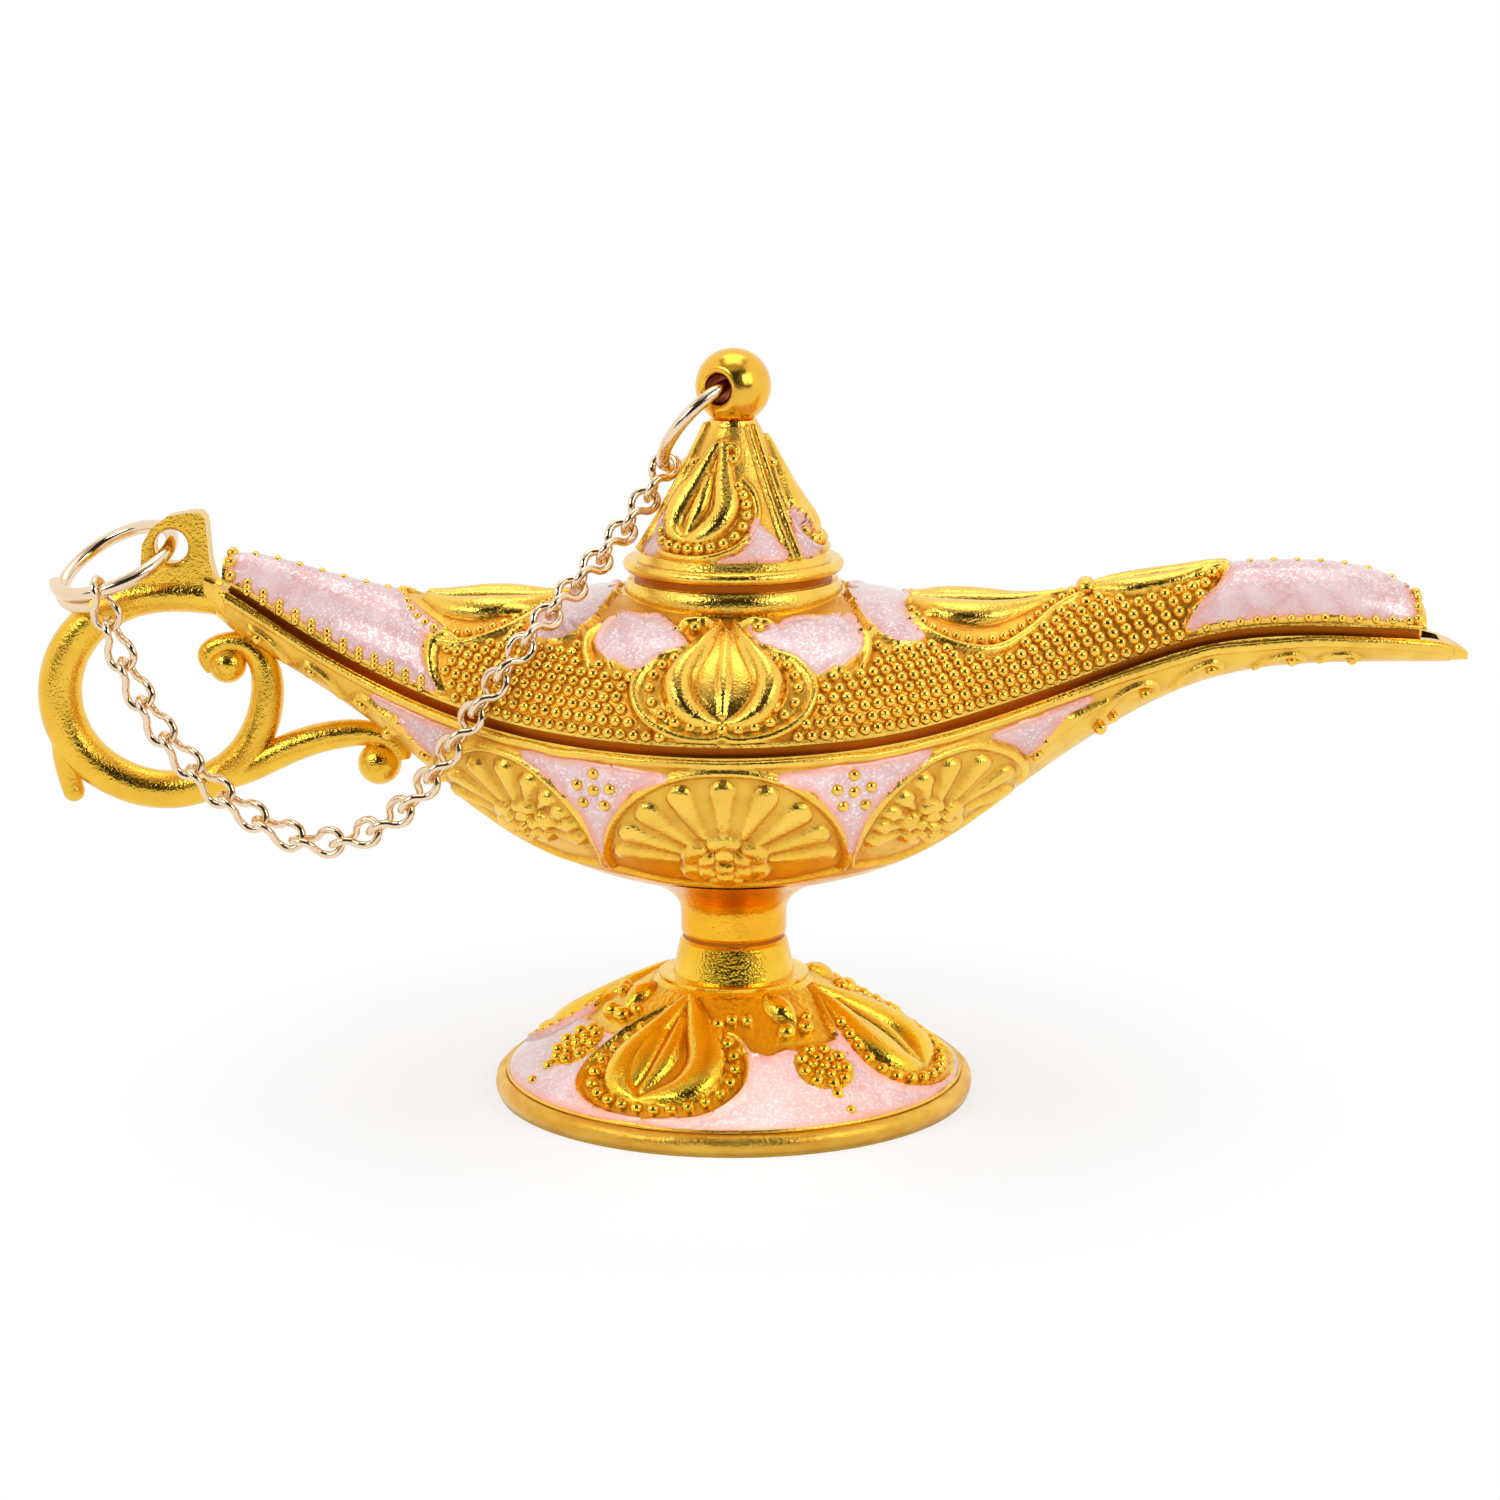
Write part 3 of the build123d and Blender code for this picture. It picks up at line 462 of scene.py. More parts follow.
def foot_field(half_turn, steps):
    """One field of the foot with half a bud at each side, drawn on the opened-out cone about its middle."""
    theta = half_turn * (-1 + 2 * np.arange(steps) / steps)
    rings = np.linspace(CONE_TOP[0] + 0.05, CONE_RIM[0] - 0.05, FOOT_RINGS)
    theta_grid, radius_grid = np.meshgrid(theta, rings, indexing="ij")
    u = radius_grid * CONE_STRETCH * np.sin(theta_grid / CONE_STRETCH)
    v = radius_grid * CONE_STRETCH * np.cos(theta_grid / CONE_STRETCH)
    field = new_field(u.shape)
    flat_half = half_turn / CONE_STRETCH
    edges = [turned(BUD_EDGE, way * flat_half) for way in (-1, 1)]
    upper = [tuple(p[:2]) for p in bent_line(edges[0][5:10])]
    upper += [(-4.6, 14.2), (-3.2, 15.9), (-1.2, 15.5), (0.4, 16.3), (2.3, 15.6), (4.0, 14.9)]
    lower = [tuple(p[:2]) for p in bent_line(edges[1][1:6])]
    reach = flat_half + 0.02
    bottom = [(FIELD_END * math.sin(a), FIELD_END * math.cos(a)) for a in np.linspace(reach, -reach, 60)]
    outline = np.array(upper + lower + bottom)
    fine = []
    for a, b in zip(outline, np.roll(outline, -1, axis=0)):
        n = max(1, int(np.hypot(*(b - a)) / 0.1))
        fine.append(a + (b - a) * np.linspace(0, 1, n, endpoint=False)[:, None])
    pour(field, u, v, np.vstack(fine), 0.22)
    field["wet"][np.hypot((u - FLOWER[0]) / 1.05, v - FLOWER[1]) < 2.6] = False
    relief = field["relief"]
    for way, edge in zip((-1, 1), edges):
        chase(relief, u, v, [(x, y, wide * 0.9, high * 1.45) for x, y, wide, high in edge], 0.7)
        for lobe in BUD_LOBES:
            chase(relief, u, v, turned(lobe, way * flat_half), 0.55)
        heap(relief, u, v, bent_line(edge)[:, :2], 0.16)
    arc = np.linspace(-0.8, 0.8, 25)
    chase(relief, u, v, [(RIM_LINE * math.sin(a), RIM_LINE * math.cos(a), 0.26, 0.36) for a in arc])
    chase(relief, u, v, SCALLOP)
    chase(relief, u, v, LEAF)
    for x, y, size in berries[1:]:
        chase(relief, u, v, [(x - 0.12, y, size + 0.22, 0.5), (x + 0.12, y, size + 0.22, 0.5)], 0.5)
    inner = (radius_grid < 12.5) & (relief < 0.1)
    grain = np.sin(u * 5.1 + 1.3 * np.sin(v * 3.7)) * np.sin(v * 5.7 + 1.1 * np.sin(u * 4.1))
    relief[inner] += 0.06 + 0.05 * grain[inner]
    relief += SKIN_LIFT
    return field, u, v


def cone_place(u, v):
    """Back from the opened-out cone to the foot, about a field's middle."""
    far = np.hypot(u, v)
    turn = np.arctan2(u, v) * CONE_STRETCH
    r = far / CONE_STRETCH
    z = CONE_TOP[1] - (r - CONE_TOP[0]) * (CONE_TOP[1] - CONE_RIM[1]) / (CONE_RIM[0] - CONE_TOP[0])
    return r, turn, z


def around(grids):
    """Grids side by side all round, with the first line again at the end."""
    return np.concatenate(grids + [grids[0][:1]])


foot_base = []
foot_fields = []
foot_spots = []
slant = math.hypot(CONE_DROP, CONE_WIDE)
for first, last in zip(BUD_TURNS, BUD_TURNS[1:] + (BUD_TURNS[0] + 360.0,)):
    half_turn = math.radians(last - first) / 2
    centre = math.radians(last + first) / 2
    field, foot_u, foot_v = foot_field(half_turn, int(round((last - first) * 1.53)))
    foot_fields.append(field)
    r, turn, z = cone_place(foot_u, foot_v)
    foot_base.append(round_place(r, turn + centre, z))
    flat_half = half_turn / CONE_STRETCH
    beads = [(*p, 0.62, 0.42) for p in bead_points(turned(BUD_BEADS, flat_half), 1.55)]
    beads += [(*berry, 0.5) for berry in berries]
    beads += LOOSE_BEADS + [(*p, 0.66, 0.35) for p in turned(SPRIG, -flat_half)]
    for u, v, size, over in beads:
        r, turn, z = cone_place(u, v)
        up = round_place(CONE_DROP / slant, turn + centre, CONE_WIDE / slant)
        foot_spots.append((round_place(r, turn + centre, z), up, size, over))
foot_whole = {label: around([field[label] for field in foot_fields]) for label in foot_fields[0]}
foot_sink = np.zeros(foot_whole["relief"].shape)
foot_sink[:, :2] = EDGE_SINK
foot_sink[:, -1:] = EDGE_SINK
raise_skin("foot_relief", around(foot_base), foot_whole, foot_sink, "lamp", 0.0, wrap=True)
set_beads("foot_beads", foot_spots, "lamp")

# The rolled rim under the cone, a little dented and worn along its run, and darkened by painted dark
# reflections streaked along the dents and the wear.
RIM_SECTION = [(21.6, 0.14), (21.84, 0.36), (21.98, 0.7), (22.0, 1.1), (21.88, 1.5), (21.62, 1.8),
               (21.3, 1.92), (21.0, 1.84)]
rim_line = bent_line(RIM_SECTION, 0.12)
rim_turn = np.linspace(0, 2 * math.pi, 481)
turn_grid, at_grid = np.meshgrid(rim_turn, np.linspace(0, 1, len(rim_line)), indexing="ij")
dents_and_streak_shade = np.sin(9 * turn_grid + 2 * np.sin(4 * turn_grid))
dents_and_streak_shade *= np.cos(4.6 * at_grid + 1.3 * np.sin(6 * turn_grid))
wear_and_streak_shade = np.sin(37 * turn_grid + 3 * np.sin(7 * turn_grid))
wear_and_streak_shade *= np.sin(11.0 * at_grid + 2.0 * np.sin(5 * turn_grid))
rim_field = new_field(turn_grid.shape)
rim_field["relief"] += 0.05 + 0.04 * dents_and_streak_shade + 0.006 * wear_and_streak_shade
# Painted dark reflections: the rim's colour is darkened all along and streaked with the dents and the wear.
raise_skin("foot_rim_skin", round_place(rim_line[:, 0], turn_grid, rim_line[:, 1]), rim_field,
           np.zeros(turn_grid.shape), "lamp", 0.0, wrap=True,
           painted_shade=np.clip(0.3 + 0.25 * dents_and_streak_shade + 0.08 * wear_and_streak_shade, 0, 0.75))
clad("foot", cast_gold)

# FOOT SCREW AND WASHER: a slotted brass screw and its washer, turned from bar, up through the foot's
# hollow into the neck of the bowl. Only seen from below.
screw_brass = gilt("turned_brass", (0.68, 0.46, 0.17), (0.40, 0.22, 0.06), 0.26, 0.12)
for node in ("foot_screw", "screw_washer"):
    clad(node, screw_brass)

# LOWER BODY: the boat-shaped bowl, cast with its short neck. Three fans of petals a side stand under a
# plain rim band, with a flower at each root; the corners between them are filled with pink enamel and
# six-dot flowers, and scrolls with round eyes run out under the spout and the handle.
clad("lower_body", cast_gold)
RAY_COUNT = 130
COLUMN_COUNT = 531
RIM_SINK = 0.3
END_SINK = 0.35
RIM_X = (-48.0, -41.0, -34.0, -26.0, -18.0, -9.0, 0.0, 9.0, 18.0, 26.0, 34.0, 43.0, 52.0, 59.0, 63.5, 66.2)
RIM_Z = (47.6, 43.6, 39.9, 37.2, 36.0, 35.7, 35.6, 35.8, 36.4, 37.9, 40.3, 43.0, 43.8, 43.5, 42.9, 41.6)


def bridge(xs, value, skip):
    """Draws a smooth line under a swelling of the casting, from its two sides."""
    ends = np.flatnonzero(np.diff(np.concatenate([[0], skip.astype(int), [0]])))
    for a, b in zip(ends[::2], ends[1::2]):
        left = np.polyfit(xs[a - 6:a] - xs[a - 1], value[a - 6:a], 1)
        right = np.polyfit(xs[b:b + 6] - xs[b], value[b:b + 6], 1)
        wide = xs[b] - xs[a - 1]
        t = (xs[a:b] - xs[a - 1]) / wide
        value[a:b] = (left[1] * (2 * t ** 3 - 3 * t ** 2 + 1) + right[1] * (3 * t ** 2 - 2 * t ** 3)
                      + wide * (left[0] * (t ** 3 - 2 * t ** 2 + t) + right[0] * (t ** 3 - t ** 2)))


def lay_columns(node, xs, over_rim, way, most, count, stop, first, swelling=None):
    """Finds the casting's outline across the lamp at each x, from the rim on, and spaces it evenly."""
    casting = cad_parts[node]
    turns = np.radians(np.linspace(first, 90.0, RAY_COUNT))
    middle = np.interp(xs, RIM_X, RIM_Z) + over_rim
    far = np.full((len(xs), len(turns)), np.nan)
    skip = np.zeros(far.shape, bool)
    for i, x in enumerate(xs):
        for k, a in enumerate(turns):
            out = Vector((0.0, -math.cos(a), way * math.sin(a)))
            hit, at = casting.ray_cast((Vector((x, 0, middle[i])) + 60 * out) * MM, -out)[:2]
            if hit:
                far[i, k] = math.hypot(at[1], at[2] - middle[i] * MM) / MM
                skip[i, k] = swelling is not None and swelling(np.array(at) / MM)
    for k in range(len(turns)):
        bridge(xs, far[:, k], skip[:, k])
    grid = np.zeros((len(xs), count, 3))
    girth = np.zeros(len(xs))
    for i, x in enumerate(xs):
        path = []
        for k in np.flatnonzero(np.isfinite(far[i])):
            spot = np.array([x, -far[i, k] * math.cos(turns[k]),
                             middle[i] + way * far[i, k] * math.sin(turns[k])])
            if stop(spot):
                break
            path.append(spot)
        path = np.array(path)
        if swelling is not None:
            path = path[np.abs(path[:24, 1]).argmax():]
        run = np.concatenate([[0], np.cumsum(np.linalg.norm(np.diff(path, axis=0), axis=1))])
        girth[i] = min(run[-1], most)
        at = np.linspace(0, girth[i], count)
        for k in range(3):
            grid[i, :, k] = np.interp(at, run, path[:, k])
    return xs, blurred(grid, 3), girth


def opened(columns):
    """x and girth of every point of the laid columns."""
    xs, grid, girth = columns
    share = np.linspace(0, 1, grid.shape[1])
    return np.repeat(xs[:, None], len(share), axis=1), girth[:, None] * share


def parted(columns):
    """True where the front and the back don't meet at the columns' end."""
    return np.abs(columns[1][:, -1, 1]) > 0.06


def on_columns(columns, u, v):
    """Places on the laid columns at x = u and girth v."""
    xs, grid, girth = columns
    i = np.clip((u - xs[0]) / (xs[1] - xs[0]), 0, len(xs) - 1.001)
    lo = i.astype(int)
    t = (i - lo)[..., None]
    full = np.interp(u, xs, girth)
    j = np.clip(v / np.maximum(full, 0.01), 0, 1) * (grid.shape[1] - 1.001)
    low = j.astype(int)
    s = (j - low)[..., None]
    a = grid[lo, low] * (1 - t) + grid[lo + 1, low] * t
    b = grid[lo, low + 1] * (1 - t) + grid[lo + 1, low + 1] * t
    return a * (1 - s) + b * s


def column_up(columns, u, v):
    """A place on the laid columns and the outward direction there."""
    u = np.array([u])
    v = np.array([v])
    side = on_columns(columns, u + 0.3, v) - on_columns(columns, u - 0.3, v)
    rise = on_columns(columns, u, v + 0.3) - on_columns(columns, u, v - 0.3)
    up = np.cross(side, rise)[0]
    middle = on_columns(columns, u, v)[0]
    up = up / np.linalg.norm(up)
    inward = np.array([middle[0], 0.0, np.interp(middle[0], RIM_X, RIM_Z)]) - middle
    return middle, -up if up @ inward > 0 else up


def both_sides(grid):
    """Front and back of a piece that is alike on both sides."""
    back = grid[:, ::-1].copy()
    if grid.ndim == 3:
        back[..., 1] *= -1
    return np.concatenate([grid, back], axis=1)


def dress_both(name, columns, u, v, field, sink, body, painted_shade):
    """Front half from the drawn field, back half mirrored, joined where the halves meet."""
    drop = np.zeros(u.shape, bool)
    drop[:, -1] = parted(columns)
    raise_skin(name, both_sides(on_columns(columns, u, v)), each_layer(field, both_sides), both_sides(sink),
               body, 38.0, both_sides(drop), painted_shade=both_sides(painted_shade))


def both_bead_spots(columns, spots):
    """Bead spots (u, v, radius, height over the surface) on the front, and the same on the back."""
    rows = []
    for u, v, size, over in spots:
        place, up = column_up(columns, u, v)
        for flip in (np.array([1, 1, 1]), np.array([1, -1, 1])):
            rows.append((place * flip, up * flip, size, over))
    return rows


bowl = lay_columns("lower_body", np.linspace(-46.5, 65.0, COLUMN_COUNT), 0.0, -1, 17.5, 86,
                   lambda p: math.hypot(p[0], p[1]) < 8.4, 0.2)
bowl_u, bowl_v = opened(bowl)
bowl_field = new_field(bowl_u.shape)
FAN_SIDE = [(-10.2, 13.7), (-10.6, 11.1), (-9.7, 6.8), (-7.3, 3.6), (-3.9, 1.7)]
FAN = FAN_SIDE + [(0.0, 1.2)] + mirrored(FAN_SIDE)[::-1]
SIDE_FAN = [(10.9, 13.5), (11.2, 10.7), (12.6, 6.9), (14.8, 4.0), (18.2, 2.0), (21.6, 1.9), (24.6, 3.6),
            (26.2, 6.0), (26.0, 8.4)]
MIDDLE_ROOT = (0.0, 11.6)
SIDE_ROOT = (18.0, 9.3)
spandrel = closed([(10.8, 11.1), (10.15, 7.4), (7.9, 3.6), (4.6, 1.7), (10.0, 1.12), (18.0, 1.2), (14.9, 3.5),
                   (12.4, 6.6)])
corner = closed([(23.2, 1.5), (27.6, 1.2), (32.2, 1.2), (31.8, 2.0), (29.4, 2.4), (27.4, 4.2), (26.4, 4.9),
                 (25.3, 3.4)])
for way in (-1, 1):
    for outline in (spandrel, corner):
        pour(bowl_field, bowl_u, bowl_v, outline * [way, 1], 0.16)


def on_bowl(points, full=0.6):
    """Raises a ridge on the bowl's front: (u, v, half width, height)."""
    chase(bowl_field["relief"], bowl_u, bowl_v, points, full)


def fan(arch, root, angles, reach, wide, size):
    """One fan: an arched border, petals that widen outwards, and a seven-part flower at the root."""
    on_bowl([(x, y, 0.42, 0.55) for x, y in arch], 0.7)
    root = np.array(root)
    border = bent_line(arch) - root
    for a in np.radians(angles):
        way = np.array([math.sin(a), -math.cos(a)])
        side = border @ np.array([way[1], -way[0]])
        ahead = border @ way
        front = ahead > 1.0
        far = ahead[front][np.abs(side[front]).argmin()] - 1.0
        low, mid, tip = (root + way * d for d in (reach, reach + (far - reach) * 0.5, far - wide * 0.75))
        on_bowl([(*low, wide * 0.3, 0.3), (*mid, wide * 0.68, 0.5), (*tip, wide, 0.62)], 0.45)
    for a in np.radians(np.arange(0, 360, 60)):
        out = size * np.array([math.sin(a), -math.cos(a)])
        along = size * np.array([math.cos(a), math.sin(a)])
        for far, half, thick, rise in ((3.0, 0.75, 1.0, 0.7), (1.7, 0.3, 0.8, 0.95)):
            petal = ((-half, 1.0, 0.8), (0.0, 1.08, 1.0), (half, 1.0, 0.8))
            on_bowl([(*(root + far * push * out + aside * along), size * thick * broad, rise)
                     for aside, push, broad in petal], 0.4)
    on_bowl([(root[0] + aside * size, root[1], 0.72 * size, 1.05) for aside in (-0.25, 0.25)], 0.4)


on_bowl([(x, 0.42, 0.56, 0.42) for x in np.linspace(-46.5, 64.5, 60)])
fan(FAN, MIDDLE_ROOT, (-84, -66, -47, -25, 0, 25, 47, 66, 84), 4.1, 1.14, 1.0)
on_bowl([(x, y, 0.45, 0.4) for x, y in ((-10.2, 14.4), (-5.0, 16.1), (0, 16.5), (5.0, 16.1), (10.2, 14.4))])
SIDE_TURNS = (-96, -74, -52, -30, -7, 16, 40, 64, 88)
SIDE_LINES = [
    [(10.8, 14.0, 0.42, 0.4), (15.0, 14.4, 0.42, 0.4), (20.0, 12.6, 0.42, 0.4), (25.0, 9.6, 0.42, 0.4)],
    [(26.9, 4.9, 0.3, 0.4), (28.6, 3.6, 0.62, 0.6), (31.2, 2.6, 0.5, 0.5), (33.6, 2.2, 0.25, 0.4)],
    [(27.2, 4.2, 0.25, 0.4), (29.0, 2.7, 0.6, 0.6), (30.8, 2.5, 0.2, 0.4)],
]
for way in (-1, 1):
    fan([(way * x, y) for x, y in SIDE_FAN], (way * SIDE_ROOT[0], SIDE_ROOT[1]), way * np.array(SIDE_TURNS),
        3.0, 0.84, 0.72)
    for shape in SIDE_LINES:
        on_bowl([(way * p[0], *p[1:]) for p in shape])
SCROLLS = [
    [(33.2, 3.9), (34.6, 2.2), (36.6, 1.8), (38.0, 2.5), (37.8, 3.5), (36.9, 3.3)],
    [(39.6, 3.6), (40.8, 2.2), (42.8, 1.7), (43.8, 2.4), (43.2, 3.1)],
    [(46.8, 3.4), (48.0, 2.2), (50.0, 1.7), (51.1, 2.4), (50.4, 3.0)],
    [(52.6, 3.0), (53.8, 2.0), (55.4, 1.8), (56.2, 2.4)],
]
BACK_SCROLLS = [
    [(-30.4, 4.6), (-31.2, 2.8), (-32.8, 2.0), (-34.0, 2.8), (-33.2, 3.6)],
    [(-35.4, 3.6), (-36.6, 2.2), (-38.2, 1.9), (-38.9, 2.7)],
    [(-40.6, 3.2), (-41.8, 2.0), (-43.4, 1.8), (-43.9, 2.5)],
]
for scroll in SCROLLS + BACK_SCROLLS:
    on_bowl([(x, y, 0.34, 0.42) for x, y in scroll])
bowl_field["relief"] += SKIN_LIFT
bowl_sink = np.zeros(bowl_u.shape)
bowl_sink[:, :1] = RIM_SINK
bowl_sink[:2] = RIM_SINK
bowl_sink[-2:] = RIM_SINK
bowl_sink[:, -3:] += np.where(bowl[2] < 17.3, 0.0, END_SINK)[:, None]
dress_both("bowl_relief", bowl, bowl_u, bowl_v, bowl_field, bowl_sink, "lamp", np.zeros(bowl_u.shape))
EYES = ((37.0, 2.9), (42.9, 2.5), (50.1, 2.4), (55.5, 2.3), (-33.2, 2.9), (-38.0, 2.5), (-43.0, 2.4))
SIX_DOTS = ((0, 0), (0, -1.55), (-1.45, -0.35), (1.45, -0.35), (-0.95, 1.35), (0.95, 1.35))
bowl_spots = []
for way in (-1, 1):
    bowl_spots += [(way * 11.2 + dx, 3.6 + dy, 0.56, 0.3) for dx, dy in SIX_DOTS]
    bowl_spots.append((way * 27.3, 5.3, 0.6, 0.35))
bowl_spots += [(x, y, 0.55, 0.3) for x, y in EYES]
bowl_spots += [(34.2, 4.6, 0.5, 0.25), (33.0, 5.4, 0.65, 0.3), (-31.0, 5.2, 0.6, 0.3)]
set_beads("bowl_beads", both_bead_spots(bowl, bowl_spots), "lamp")

# HANDLE: the scroll handle with its ear, cast in one and soldered on under the rim; satin gilt with a
# coarser skin than the bowl, because it is not chased after casting.
satin_gold = gilt("satin_gold", (0.92, 0.56, 0.06), (0.62, 0.26, 0.012), 0.13, 0.55)
clad("handle", satin_gold)

# TOP SHELL: the pressed upper half with the filling mouth. Its front and back carry a bud under the
# mouth, fields of small granules, long buds along the ridge and pearl pink panels at both ends, which
# are bordered by pegs and small beads.
clad("top_shell", cast_gold)


def swollen(spot):
    """True over the lobes of the solid shell, which the finer relief covers."""
    x, y, z = spot
    if 0.7 < abs(x) < 5.4:
        return z > 38.1
    if -27.6 < x < -16.4 or 16.0 < x < 27.2:
        return abs(y) < 5.4
    return 33.0 < x < 43.9 and abs(y) < 3.0


shell = lay_columns("top_shell", np.linspace(-46.25, 62.15, COLUMN_COUNT), 0.95, 1, 40.0, 90,
                    lambda p: math.hypot(p[0], p[1]) < 10.0, 0.0, swollen)
shell_x, shell_grid, shell_girth = shell
shell_u, shell_v = opened(shell)
shell_field = new_field(shell_u.shape)
relief = shell_field["relief"]


def ridge_over(x, below):
    """Girth at a distance below the ridge."""
    return float(np.interp(x, shell_x, shell_girth)) - below


def over_ridge(points):
    """An outline that runs up to the ridge and past it, so that the other side's half joins it."""
    return [(x, ridge_over(x, below)) for x, below in points]


left_cell = closed([(-11.2, 8.5), (-11.2, 11.4), (-9.9, 14.6), (-7.8, 14.3), (-6.2, 14.5), (-5.0, 13.1),
                    (-3.9, 11.2), (-3.4, 9.9), (-5.2, 8.6), (-7.6, 6.5)])
right_cell = closed([(1.9, 12.6), (2.5, 10.6), (4.2, 9.4), (6.0, 8.2), (7.8, 6.1), (9.6, 6.7), (11.7, 8.2),
                     (11.8, 10.6), (10.6, 14.6), (8.7, 14.2), (6.7, 14.4), (5.1, 13.8), (4.2, 12.8)])
right_side = closed(over_ridge([(10.6, -1.0), (11.3, 6.2), (12.7, 9.6), (14.6, 10.9), (17.2, 9.4),
                                (16.0, 6.6), (15.4, 3.6), (15.6, -1.0)]))
left_side = closed(over_ridge([(-10.6, -1.0), (-11.3, 6.2), (-12.6, 9.4), (-14.8, 10.8), (-17.4, 9.0),
                               (-17.0, 5.2), (-14.4, 1.6), (-14.4, -1.0)]))
left_panel = closed([(-45.6, 0.8), (-44.0, 0.45), (-38.0, 0.45), (-31.0, 0.45), (-25.9, 0.6), (-27.3, 3.2),
                     (-27.0, 5.2), (-25.6, 6.6), (-28.6, 8.0), (-30.2, 9.6), (-30.6, 12.5), (-38.0, 9.0),
                     (-44.0, 7.0)])
right_panel = closed([(41.0, 0.75), (47.0, 0.6), (54.0, 0.6), (60.6, 0.65), (60.4, 4.0), (60.0, 7.5),
                      (50.0, 10.0), (44.8, 10.0), (44.6, 6.0), (43.6, 4.2), (41.6, 2.6)])
CELLS = (left_cell, right_cell, right_side, left_side, left_panel, right_panel)
for outline in CELLS:
    pour(shell_field, shell_u, shell_v, outline, 0.2)


def on_shell(points, full=0.6):
    """Raises a ridge on the shell's front: (u, v, half width, height)."""
    chase(shell_field["relief"], shell_u, shell_v, points, full)


for outline in CELLS:
    border = [(x, y, 0.3, 0.42) for x, y in outline[::6]]
    on_shell(border + border[:1], 0.7)

# The middle bud, with its bead border and the curled ends under the mouth.
MID_EDGE = [(-4.2, 9.1, 0.42, 0.5), (-6.3, 7.7, 0.5, 0.62), (-7.7, 5.0, 0.52, 0.68), (-7.0, 2.5, 0.52, 0.66),
            (-4.4, 0.95, 0.5, 0.6), (-1.4, 0.55, 0.45, 0.5), (0.0, 0.85, 0.42, 0.5)]
MID_CRESCENT = [(-0.75, 13.5, 0.36, 0.75), (-1.1, 11.7, 0.46, 1.0), (-2.1, 9.4, 0.7, 1.3),
                (-3.4, 7.0, 1.1, 1.6), (-3.95, 5.0, 1.4, 1.7), (-3.2, 3.2, 1.25, 1.4), (-1.7, 2.2, 0.8, 0.9),
                (-0.3, 1.95, 0.3, 0.4)]
MID_RIB = [(0.0, 12.0, 0.3, 0.65), (0.0, 8.6, 0.55, 0.8), (0.0, 5.4, 0.85, 0.9), (0.0, 2.5, 0.35, 0.6)]
MID_CURL = [(-1.0, 11.4, 0.35, 0.6), (-1.25, 12.8, 0.4, 0.75), (-2.4, 13.6, 0.42, 0.75),
            (-3.7, 13.2, 0.4, 0.7), (-4.1, 12.2, 0.35, 0.6)]
for shape in (MID_EDGE, MID_CRESCENT, MID_RIB, MID_CURL):
    for side in (shape, mirrored(shape)):
        on_shell(side)
bud_side = [p[:2] for p in MID_EDGE[:5]]
bud_shape = closed(bud_side + [(0.0, 0.7)] + mirrored(bud_side)[::-1] + [(1.3, 12.2), (-1.3, 12.2)])
heap(relief, shell_u, shell_v, bud_shape, 0.14)
HEART_SIDE = [(-1.1, 10.8), (-2.6, 7.6), (-3.2, 5.2), (-2.2, 3.0)]
heart = closed([(0, 12.6)] + HEART_SIDE + [(0, 2.1)] + mirrored(HEART_SIDE)[::-1])
heart_gap = gap_to(shell_u, shell_v, heart)[0]
heap(relief, shell_u, shell_v, heart, 0.2 + 0.28 * np.clip(heart_gap / 1.4, 0, 1) ** 0.6)
# Long buds along the ridge, leaf on the spout and the scrolls that part the fields.
below = np.interp(shell_u, shell_x, shell_girth) - shell_v
RIGHT_BUD = [(16.1, 5.6, 0.4, 0.5), (17.4, 7.8, 0.45, 0.55), (20.2, 8.9, 0.48, 0.6), (23.6, 8.3, 0.48, 0.6),
             (26.8, 5.6, 0.45, 0.55), (29.2, 2.8, 0.4, 0.5), (31.6, 1.1, 0.35, 0.45)]
RIGHT_LOBE = [(16.6, 1.4, 0.9, 0.7), (19.0, 3.2, 1.7, 1.2), (22.0, 3.6, 1.8, 1.3), (25.2, 2.4, 1.2, 1.0),
              (28.4, 0.8, 0.5, 0.6)]
RIGHT_KEEL = [(17.0, 0.0, 0.6, 0.7), (21.0, 0.0, 0.9, 1.0), (26.0, 0.0, 0.8, 0.9), (30.0, 0.0, 0.5, 0.6)]
SPOUT_LEAF = [(32.8, 0.9, 0.6, 0.7), (35.6, 1.7, 1.15, 1.0), (38.8, 1.8, 1.1, 1.0), (42.0, 1.1, 0.7, 0.75),
              (44.4, 0.2, 0.3, 0.5)]
LEFT_BUD = [(-30.2, 1.2, 0.4, 0.5), (-29.0, 4.4, 0.45, 0.6), (-26.6, 6.8, 0.48, 0.6), (-23.2, 8.0, 0.48, 0.6),
            (-19.8, 7.2, 0.45, 0.6), (-17.2, 4.6, 0.42, 0.55), (-15.2, 1.4, 0.35, 0.5)]
LEFT_LOBE = [(-27.6, 0.9, 0.6, 0.7), (-25.2, 2.6, 1.3, 1.1), (-22.0, 3.4, 1.6, 1.3), (-18.8, 2.6, 1.2, 1.0),
             (-16.4, 0.9, 0.5, 0.6)]
LEFT_KEEL = [(-27.0, 0.0, 0.6, 0.7), (-22.0, 0.0, 0.9, 1.0), (-16.6, 0.0, 0.6, 0.7)]
for shape in (RIGHT_BUD, RIGHT_LOBE, RIGHT_KEEL, SPOUT_LEAF, LEFT_BUD, LEFT_LOBE, LEFT_KEEL):
    chase(relief, shell_u, below, shape, 0.55)
chase(relief, shell_u, below, [(33.4, 0.0, 0.4, 0.5), (38.0, 0.0, 0.7, 0.8), (43.0, 0.0, 0.4, 0.5)])
